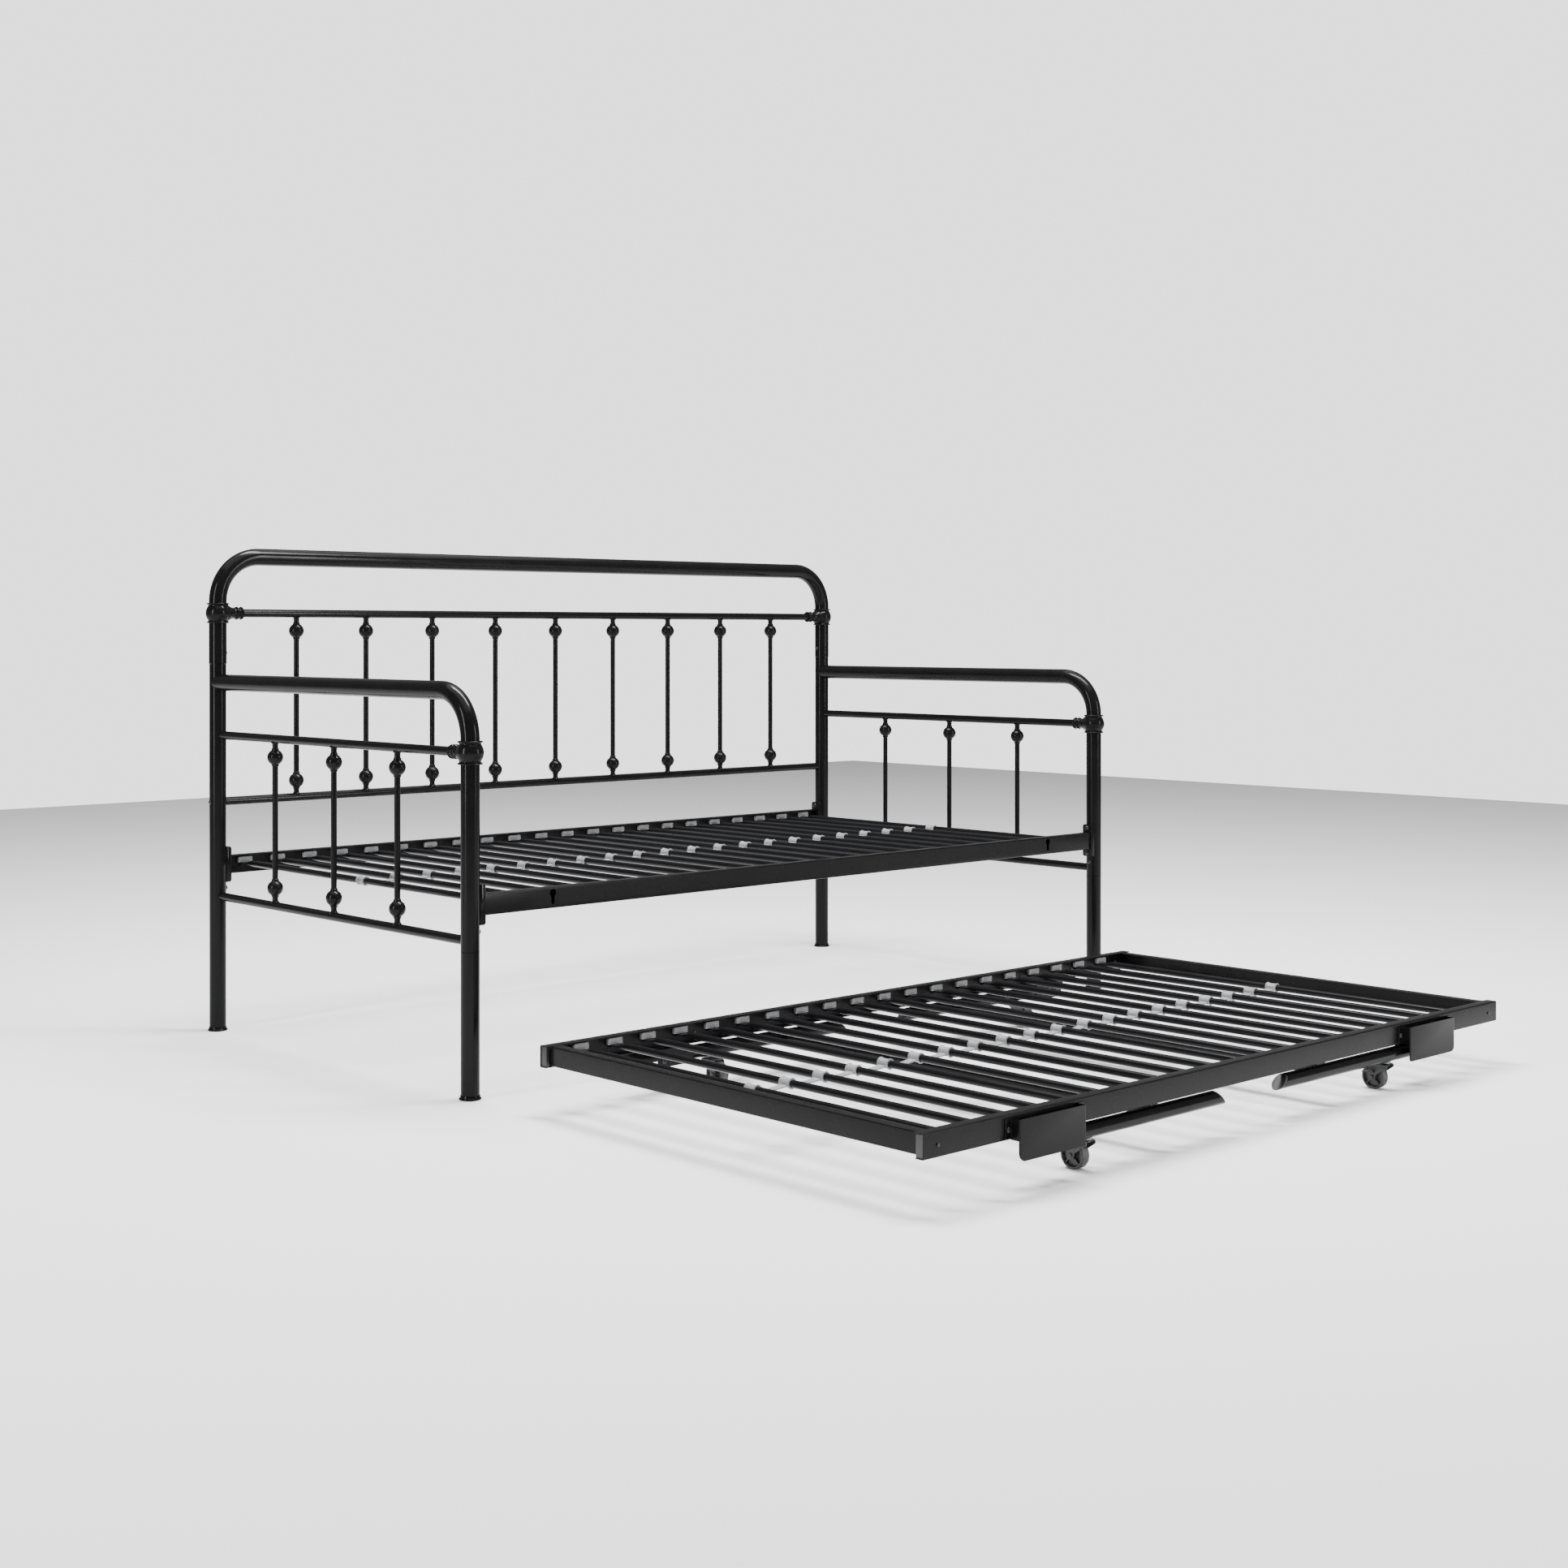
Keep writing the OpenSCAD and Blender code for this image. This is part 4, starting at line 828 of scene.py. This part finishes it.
# %% [markdown]
# ## Bolts
# The frame is held by socket bolts with low domed heads. One head is turned for a bolt of size 1 and
# a six-sided socket is sunk into it. Each bolt's place, direction and size are measured from the
# frame's own bolts: a bolt is round about its axis, and its thicker end is the head.

# %% Socket bolt
def bolt_shape():
    """Bolt of shank diameter 1 m, with the top of its head at z = 0 and its shank down -Z."""
    socket = [(0.25, -0.30), (0.27, -0.02)]
    head = [(0.36, 0.0), (0.52, -0.04), (0.66, -0.13), (0.76, -0.27), (0.80, -0.38),
            (0.80, -0.47), (0.78, -0.50), (0.52, -0.50), (0.49, -0.56), (0.49, -1.5)]
    loops = []
    for r, z in socket + head:
        loop = []
        for i in range(24):
            t = math.pi * i / 12
            six = 1 / math.cos((t % (math.pi / 3)) - math.pi / 6) if (r, z) in socket else 1
            loop.append((r * six * math.cos(t), r * six * math.sin(t), z))
        loops.append(loop)
    return skin(loops)


def bolt_places(node):
    """(top of head, outward direction, shank diameter) of every bolt in a node."""
    found = []
    for low, high, points in solids(node):
        size = high - low
        along = min(range(3), key=lambda a: abs(size[(a + 1) % 3] - size[(a + 2) % 3]))
        across = (along + 1) % 3
        middle = (low + high) / 2
        spread = []
        for near in (lambda p: p[along] < middle[along], lambda p: p[along] >= middle[along]):
            end = [abs(p[across] - middle[across]) for p in points if near(p)]
            spread.append(max(end, default=0))
        outward = Vector((0, 0, 0))
        outward[along] = -1 if spread[0] > spread[1] else 1
        top = middle.copy()
        top[along] = low[along] if spread[0] > spread[1] else high[along]
        found.append((top, outward, 2 * min(spread)))
    return found


bolt = make("bolt", bolt_shape(), 30)
for name, node, body in (("daybed_bolts", "bed_bolts", "daybed"),
                         ("trundle_frame_bolts", "trundle_bolts", "trundle")):
    spots = bolt_places(node)
    settle(places(name, bolt, spots, black_oxide), body, nodes=[node])
    print("   sizes in mm:", sorted({round(s / MM, 1) for _, _, s in spots}))
discard(bolt)

# %% [markdown]
# ## Rolled side rails
# Each side rail is a strip of steel rolled into a C. Rolling cannot make a sharp corner, so the web
# turns into its flanges through a bend of about 2.4 mm, which draws the bright line along a rail's
# edge. The outline of the C is pushed along the rail, and welded end plates close it. The keyholes
# are cut through the front web with a boolean, as a punch would do, and a shallow folded cover
# stands behind each, so no light comes through.

# %% Channels and plates
def channel(width, height, lip, wall=2.0):
    """C outline in mm: web at x = 0, top flange to width, bottom flange to lip."""
    inner = height - wall
    return rounded([(0, 0, 2.4), (lip, 0, 0.6), (lip, wall, 0.6), (wall, wall, 0.6),
                    (wall, inner, 0.6), (width, inner, 0.6), (width, height, 0.6),
                    (0, height, 2.4)])


def cut(piece, tool, operation="DIFFERENCE"):
    """Cuts a piece with another shape and removes the cutting shape."""
    modifier = piece.modifiers.new("cut", "BOOLEAN")
    modifier.operation = operation
    modifier.object = tool
    bake(piece)
    discard(tool)
    crisp(piece.data)


def arc_points(r, drop, degrees):
    """Points in metres on a circle of radius r mm that lies drop mm below the middle."""
    return [Vector((r * math.cos(math.radians(a)), r * math.sin(math.radians(a)) - drop)) * MM
            for a in degrees]


keyhole = arc_points(8, 0, range(-57, 238, 14)) + arc_points(4.25, 18.75, range(180, 361, 20))
keyhole_cover = prism(channel(16.6, 34, 16.6, 1.2), 39 * MM)
keyhole_cover.transform(axes((0, 0, 1), (1, 0, 0), (0, 1, 0), Vector((-17, -29, -13.5)) * MM))
rail_h, web_back, slat_drop, plate_t = 43 * MM, 10 * MM, 20.5 * MM, 4 * MM
end_plate = prism(block(-14, -40.5, 14, 40.5, 5), plate_t, 0.8 * MM)
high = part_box("front_side_rail")[1]
half = high.x - plate_t
rail_top = bed_start.z + slat_drop
for name, node, axis_y, inward in (("front_rail", "front_side_rail", front_y, 1),
                                   ("back_rail", "back_side_rail", back_y, -1)):
    web_y = axis_y - inward * web_back
    body = prism(channel(20, 43, 10), 2 * half)
    rail = make(name, merge([(body, along_x((-half, web_y, rail_top - rail_h), inward))]))
    shapes = []
    if node == "front_side_rail":
        for sign in (-1, 1):
            spot = upright((sign * (post_x - 196 * MM), web_y + 5 * MM, rail_top - 12 * MM))
            cut(rail, make("punch", merge([(prism(keyhole, 10 * MM), spot)])))
            shapes.append((keyhole_cover, spot))
    shapes += [(end_plate, along_x((x, axis_y, rail_top - slat_drop))) for x in (-high.x, half)]
    whole = merge([(shape_of(rail), Matrix())] + shapes)
    settle(make(name, whole), "daybed", rail_coat, [node])
print("rail top at", round(rail_top, 4))

# %% [markdown]
# ## Trundle frame
# The trundle's long rails are the same kind of channel, and shorter channels close its ends. A folded
# corner plate is bolted inside each long rail. The four corners are mirror images, so a shape is
# drawn once in a corner's own frame and a mirroring matrix puts it in all four.

# %% Frame of one corner
front_low, front_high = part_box("trundle_front_rail")
back_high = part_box("trundle_back_rail")[1]
deck_l = front_high.x - front_low.x
deck_w = back_high.y - front_low.y
deck_mid = Vector(((front_low.x + front_high.x) / 2, (front_low.y + back_high.y) / 2, 0))


def corner(side, end, at=(0, 0, 0)):
    """Matrix from a corner's frame, with X and Y towards the middle; side and end are -1 or 1."""
    mirrored = Matrix.Diagonal((-side, -end, 1, 1))
    place = Vector((-deck_l / 2, -deck_w / 2, 0)) + Vector(at) * MM
    return Matrix.Translation(deck_mid) @ mirrored @ Matrix.Translation(place)


def corner_name(side, end):
    """Name of a corner, such as front_left."""
    return ("back_" if end > 0 else "front_") + ("right" if side > 0 else "left")


corners = [(side, end) for side in (-1, 1) for end in (-1, 1)]
print("trundle deck", round(deck_l, 3), "by", round(deck_w, 3))

# %% [markdown]
# A long rail is one channel over the whole length. An end rail stops short of the long rails, and a
# tab at each end reaches round the corner to be bolted. The tab stands 0.4 mm off the end rail's
# web, because two faces in one plane flicker.

# %% Long rails and end rails
for name, node, y, inward in (("trundle_front_channel", "trundle_front_rail", front_low.y, 1),
                              ("trundle_back_channel", "trundle_back_rail", back_high.y, -1)):
    body = prism(channel(22.5, 42, 18), deck_l)
    rail = make(name, merge([(body, along_x((front_low.x, y, front_low.z), inward))]))
    settle(rail, "trundle", rail_coat, [node])
tab_x, tab_y = [prism(block(0, 0, w, 30, 3), 2 * MM, 0.3 * MM) for w in (34, 42.5)]
rail_gap = 23
body = prism(channel(22.5, 38, 18), deck_w - 2 * rail_gap * MM)
for side, node in ((-1, "trundle_left_rail"), (1, "trundle_right_rail")):
    lying = axes((1, 0, 0), (0, 0, 1), (0, 1, 0), Vector((10, rail_gap, 93)) * MM)
    shapes = [(body, corner(side, -1) @ lying)]
    for end in (-1, 1):
        near = corner(side, end, (10, 2.1, 95))
        shapes += [(tab_x, near @ upright((0, 2 * MM, 0))),
                   (tab_y, near @ along_x((0.4 * MM, 0, 0)))]
    settle(make(node.replace("rail", "channel"), merge(shapes)), "trundle",
           end_rail_coat, [node])

# %% [markdown]
# Each flat slat end rests on a small ledge inside the rail. One pair of ledges is drawn about the
# middle of the deck, and the row tree repeats it at the slats' own spacing.

# %% Ledges under the flat ends of the slats
shelf = prism(block(-12, -4.8, 12, -2.85, 0.5), 7 * MM, 0.3 * MM)
for name, body, start, step, count, front, back in (
        ("daybed_ledges", "daybed", bed_start, bed_step, len(bed_slat_solids),
         front_y - web_back, back_y + web_back),
        ("trundle_ledges", "trundle", trundle_start, trundle_step, len(trundle_slat_solids),
         front_low.y, back_high.y)):
    middle = (front + back) / 2
    pair = make("ledge", merge([(shelf, upright((0, front - middle + 8.5 * MM, 0))),
                                (shelf, upright((0, back - middle - 1.5 * MM, 0)))]))
    ledges = row(name, pair, count, (start.x, middle, start.z), step, rail_coat)
    discard(pair)
    settle(ledges, body)

# %% [markdown]
# ## Leg brackets
# A guard of folded sheet stands outside each folding leg. Seen from above it is a hat: a flange, a
# side, the broad plate, a side and a flange. The hat is pushed up to the guard's height, and then
# trimmed to the outline of its front, with the large rounded corner towards the end of the bed.
# Below the rail only the broad plate is left. Behind the leg a small plate holds the pivot bolt.

# %% Guard and pivot plate
hat = rounded([(-122, -13.1, 0.6), (-107, -13.1, 0.6), (-107, -31, 2.6), (65, -31, 2.6),
               (65, -13.1, 0.6), (80, -13.1, 0.6), (80, -11.1, 0.6), (63, -11.1, 2.6),
               (63, -29, 0.6), (-105, -29, 0.6), (-105, -11.1, 2.6), (-122, -11.1, 0.6)])
guard = make("guard", merge([
    (prism(hat, 69 * MM, 0.3 * MM), Matrix.Translation((0, 0, -15 * MM)))]))
face = rounded([(-107, -15.5, 16), (65, -15.5, 6), (65, 21, 1), (80.5, 21, 3), (80.5, 54.5, 3),
                (-122.5, 54.5, 3), (-122.5, 21, 3), (-107, 21, 1)], 8)
cut(guard, make("front", merge([(prism(face, 50 * MM), upright())])), "INTERSECT")
under = prism(block(-110, -20, 70, 19, 0), 20 * MM)
cut(guard, make("under", merge([(under, upright((0, -8.9 * MM, 0)))])))
guard_shape = shape_of(guard)
back_plate = prism(block(-45, -17, 45, 18.9, 8, 1, 6), 2 * MM, 0.4 * MM)
foot_tab = prism(block(-11, 0, 11, 16, 1, 0.5), 2 * MM, 0.3 * MM)
spacer = lathe([(4.1, 0), (7.2, 0), (8, 0.8), (8, 13.7), (7.2, 14.5), (4.1, 14.5)], 32, closed=True)
leg_place = (315, 11, 71)
shapes = []
for side, end in corners:
    leg = corner(side, end, leg_place)
    shapes += [(guard_shape, leg), (back_plate, leg @ upright((0, 17 * MM, 0))),
               (foot_tab, leg @ Matrix.Translation(Vector((-34, 0, 16.9)) * MM)),
               (foot_tab, leg @ Matrix.Translation(Vector((34, 0, 16.9)) * MM)),
               (spacer, leg @ along_y((0, -30 * MM, 0)))]
settle(make("leg_guards", merge(shapes)), "trundle", tube_coat, ["leg_brackets"])

# %% [markdown]
# ## Casters
# A caster's fork is stamped from one sheet and folded into an upside-down U, so it is made as a
# folded U trimmed to the outline of its cheeks. The two front forks carry ears and a pin that the
# brake pedal turns on.

# %% Forks
folded = rounded([(-13, -55, 0), (-11, -55, 0), (-11, -18.6, 0.8), (11, -18.6, 0.8), (11, -55, 0),
                  (13, -55, 0), (13, -16.6, 2.8), (-13, -16.6, 2.8)])
fork = make("fork", merge([(prism(folded, 60 * MM), upright((0, 45 * MM, 0)))]))
cheek = rounded([(-9, -16.5, 3), (33, -16.5, 7), (34, -54, 8), (18, -54, 7.9), (17.5, -42, 8),
                 (-9, -23.6, 3)], 6)
cut(fork, make("cheek", merge([(prism(cheek, 40 * MM), along_x((-20 * MM, 0, 0)))])), "INTERSECT")
fork_shape = shape_of(fork)
ear = prism(rounded([(12.5, -36.5, 1), (19, -36.5, 2.5), (19, -30, 2.5), (12.5, -30, 1)]),
            2 * MM, 0.3 * MM)
pin = lathe(mirrored([(0, -6.3), (1.0, -6.3), (1.2, -6.1)]), 20)
stem_place = Vector(leg_place) + Vector((104, 0, 0))
hinge_from_stem = Vector((16, 26, -33))
for side, end in corners:
    name = corner_name(side, end)
    stem = corner(side, end, stem_place)
    shapes = [(fork_shape, stem)]
    if end < 0:
        shapes += [(ear, stem @ upright((0, y * MM, 0))) for y in (22.2, 31.8)]
        shapes.append((pin, stem @ along_y(hinge_from_stem * MM)))
    settle(make("fork_" + name, merge(shapes)), "caster_" + name, fork_steel,
           ["caster_fork_" + name])

# %% [markdown]
# The wheel is one nylon moulding: a round tread, a thin web in the middle, a hub, and four ribs that
# cross the web to keep it stiff. It is turned as one closed profile, and the ribs are added.

# %% Wheels
side_profile = [(3.05, 10.5), (6.2, 10.5), (6.9, 9.9), (7.3, 4.2), (8.2, 3.1), (18.6, 3.0),
                (19.6, 3.8), (20.3, 8.8), (21.2, 9.8), (22.6, 10.0), (24.0, 9.5), (24.8, 8.4),
                (25.0, 7.0), (25.0, 0)]
wheel = lathe(mirrored(side_profile), 56, closed=True)
rib = prism(rounded([(5.6, -8.8, 0.8), (20.6, -8.4, 0.8), (20.6, 8.4, 0.8), (5.6, 8.8, 0.8)]),
            2.2 * MM, 0.5 * MM)
flat_rib = axes((0, 1, 0), (1, 0, 0), (0, 0, -1), (0, 0, 1.1 * MM))
for side, end in corners:
    name = corner_name(side, end)
    low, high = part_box("caster_wheel_" + name)
    centre = Matrix.Translation((low + high) / 2)
    shapes = [(wheel, centre @ along_x())]
    for angle in range(45, 360, 90):
        spin = Matrix.Rotation(math.radians(angle), 4, "X")
        shapes.append((rib, centre @ spin @ flat_rib))
    settle(make("wheel_" + name, merge(shapes)), "wheel_" + name, wheel_nylon,
           ["caster_wheel_" + name])

# %% [markdown]
# A brake pedal is a small nylon lever on the fork's pin. Its tread has three raised grips, so that a
# shoe does not slip, and its barrel goes round the pin.

# %% Brake pedals
tread = prism(rounded([(-1, -4.5, 1), (21, -4.5, 3), (24, -5.5, 2), (27, -5.5, 2.5), (27, 5.5, 2.5),
                       (24, 5.5, 2), (21, 4.5, 3), (-1, 4.5, 1)]), 1.9 * MM, 0.5 * MM)
barrel = lathe(mirrored([(1.27, -4.5), (2.4, -4.5), (2.7, -4.2)]), 24, closed=True)
grip = prism(block(-0.5, 0, 0.5, 0.9, 0.2, 0.3), 8 * MM, 0.2 * MM)
for side in (-1, 1):
    name = corner_name(side, -1)
    hinge = corner(side, -1, stem_place + hinge_from_stem)
    shapes = [(tread, hinge @ Matrix.Translation((0, 0, 0.5 * MM))), (barrel, hinge @ along_y())]
    shapes += [(grip, hinge @ upright(Vector((x, 4, 2.2)) * MM)) for x in (18, 20.5, 23)]
    settle(make("pedal_" + name, merge(shapes)), "pedal_" + name, black_nylon,
           ["brake_pedal_" + name])

# %% [markdown]
# ## Small parts with softened edges
# The saddles, end caps, foot plugs, stems, axles and pivot bolts already have the right shape in the
# exact model, but their edges are knife sharp, and a real edge always catches a thin line of light.
# A copy of each mesh has its loose triangles merged and its flat faces joined, and then every sharp
# edge gets a small bevel. That keeps the measured shape and adds only the edge.

# %% Soften a copy of the exact pieces
def soften(node, width_mm):
    """Copy of a node with bevelled edges, in place of the node."""
    bm = bmesh.new()
    bm.from_mesh(frame["nodes"][node].data)
    bmesh.ops.remove_doubles(bm, verts=bm.verts, dist=0.005 * MM)
    bmesh.ops.dissolve_limit(bm, angle_limit=math.radians(1), verts=bm.verts, edges=bm.edges)
    piece = make(node + "_soft", bm)
    bevel = piece.modifiers.new("edge", "BEVEL")
    bevel.width = width_mm * MM
    bevel.segments = 2
    bevel.limit_method = "ANGLE"
    bevel.angle_limit = math.radians(40)
    bevel.use_clamp_overlap = True
    bake(piece)
    crisp(piece.data)
    settle(piece, body_of[node], finishes[slot_of[node]], [node])


edges = {"post_brackets": 0.8, "trundle_end_caps": 0.7, "leg_pivot_bolts": 0.4}
for side, end in corners:
    name = corner_name(side, end)
    edges.update({"foot_plug_" + name: 0.8, "caster_stem_" + name: 0.3,
                  "caster_axle_" + name: 0.3})
for node, width_mm in edges.items():
    soften(node, width_mm)

# %% [markdown]
# ## Floor, light and camera
# The bed stands on a plain pale floor in a white studio. Gloss black only shows its shape by what it
# mirrors, so the light comes from large soft panels: a broad one overhead for the tops of the tubes,
# and tall ones at both sides, which draw the long lines down the posts. The room itself is much
# dimmer in the mirror than it looks behind the bed, as in a studio with a lit backdrop.

# %% Stage and panels
bpy.ops.mesh.primitive_plane_add(size=15, location=(0, 0, 0))
floor = bpy.context.object
floor.name = "floor"
paper, tree, shader, _ = start_finish("pale_matt_floor")
shader.inputs["Base Color"].default_value = linear("#fbfbfb")
shader.inputs["Roughness"].default_value = 0.9
floor.data.materials.append(paper)


def panel_light(name, at, to, width, height, power):
    """Soft panel that faces a point."""
    data = bpy.data.lights.new(name, "AREA")
    data.shape = "RECTANGLE"
    data.size, data.size_y, data.energy = width, height, power
    light = bpy.data.objects.new(name, data)
    bpy.context.scene.collection.objects.link(light)
    light.location = at
    light.rotation_euler = (Vector(to) - Vector(at)).to_track_quat("-Z", "Y").to_euler()


panel_light("overhead", (0.3, 0.2, 4.2), (0, 0, 0.3), 3.4, 0.7, 420)
panel_light("room", (0, 0, 7.0), (0, 0, 0), 9.0, 9.0, 600)
panel_light("left_side", (-5.5, 0.3, 1.8), (0, 0, 0.5), 0.35, 3.2, 170)
panel_light("right_side", (3.2, -5.8, 2.0), (0, 0, 0.4), 0.35, 3.2, 200)
world = bpy.data.worlds.new("studio")
world.use_nodes = True
tree = world.node_tree
seen = add(tree, "ShaderNodeLightPath").outputs["Is Camera Ray"]
strength = add(tree, "ShaderNodeMapRange", {"Value": seen, "To Min": 0.3, "To Max": 2.2})
tree.links.new(strength.outputs["Result"], tree.nodes["Background"].inputs["Strength"])
tree.nodes["Background"].inputs["Color"].default_value = linear("#ffffff")
bpy.context.scene.world = world

# %% [markdown]
# The camera stands just under a metre above the floor, off the front left corner, and looks level,
# so the posts stay upright in view. The lens is shifted down instead, as on a studio camera.

# %% Camera
lens = bpy.data.cameras.new("camera")
lens.lens, lens.sensor_width = 49.44, 36
lens.shift_y = -0.0970
camera = bpy.data.objects.new("camera", lens)
bpy.context.scene.collection.objects.link(camera)
camera.location = (-3.4304, -3.4318, 0.9224)
camera.rotation_euler = (math.radians(90), 0, math.radians(-43.16))
bpy.context.scene.camera = camera
print("camera at", tuple(round(c, 3) for c in camera.location))

# %% [markdown]
# ## Finish
# The view layer is brought up to date once more.

# %% Finish
bpy.context.view_layer.update()
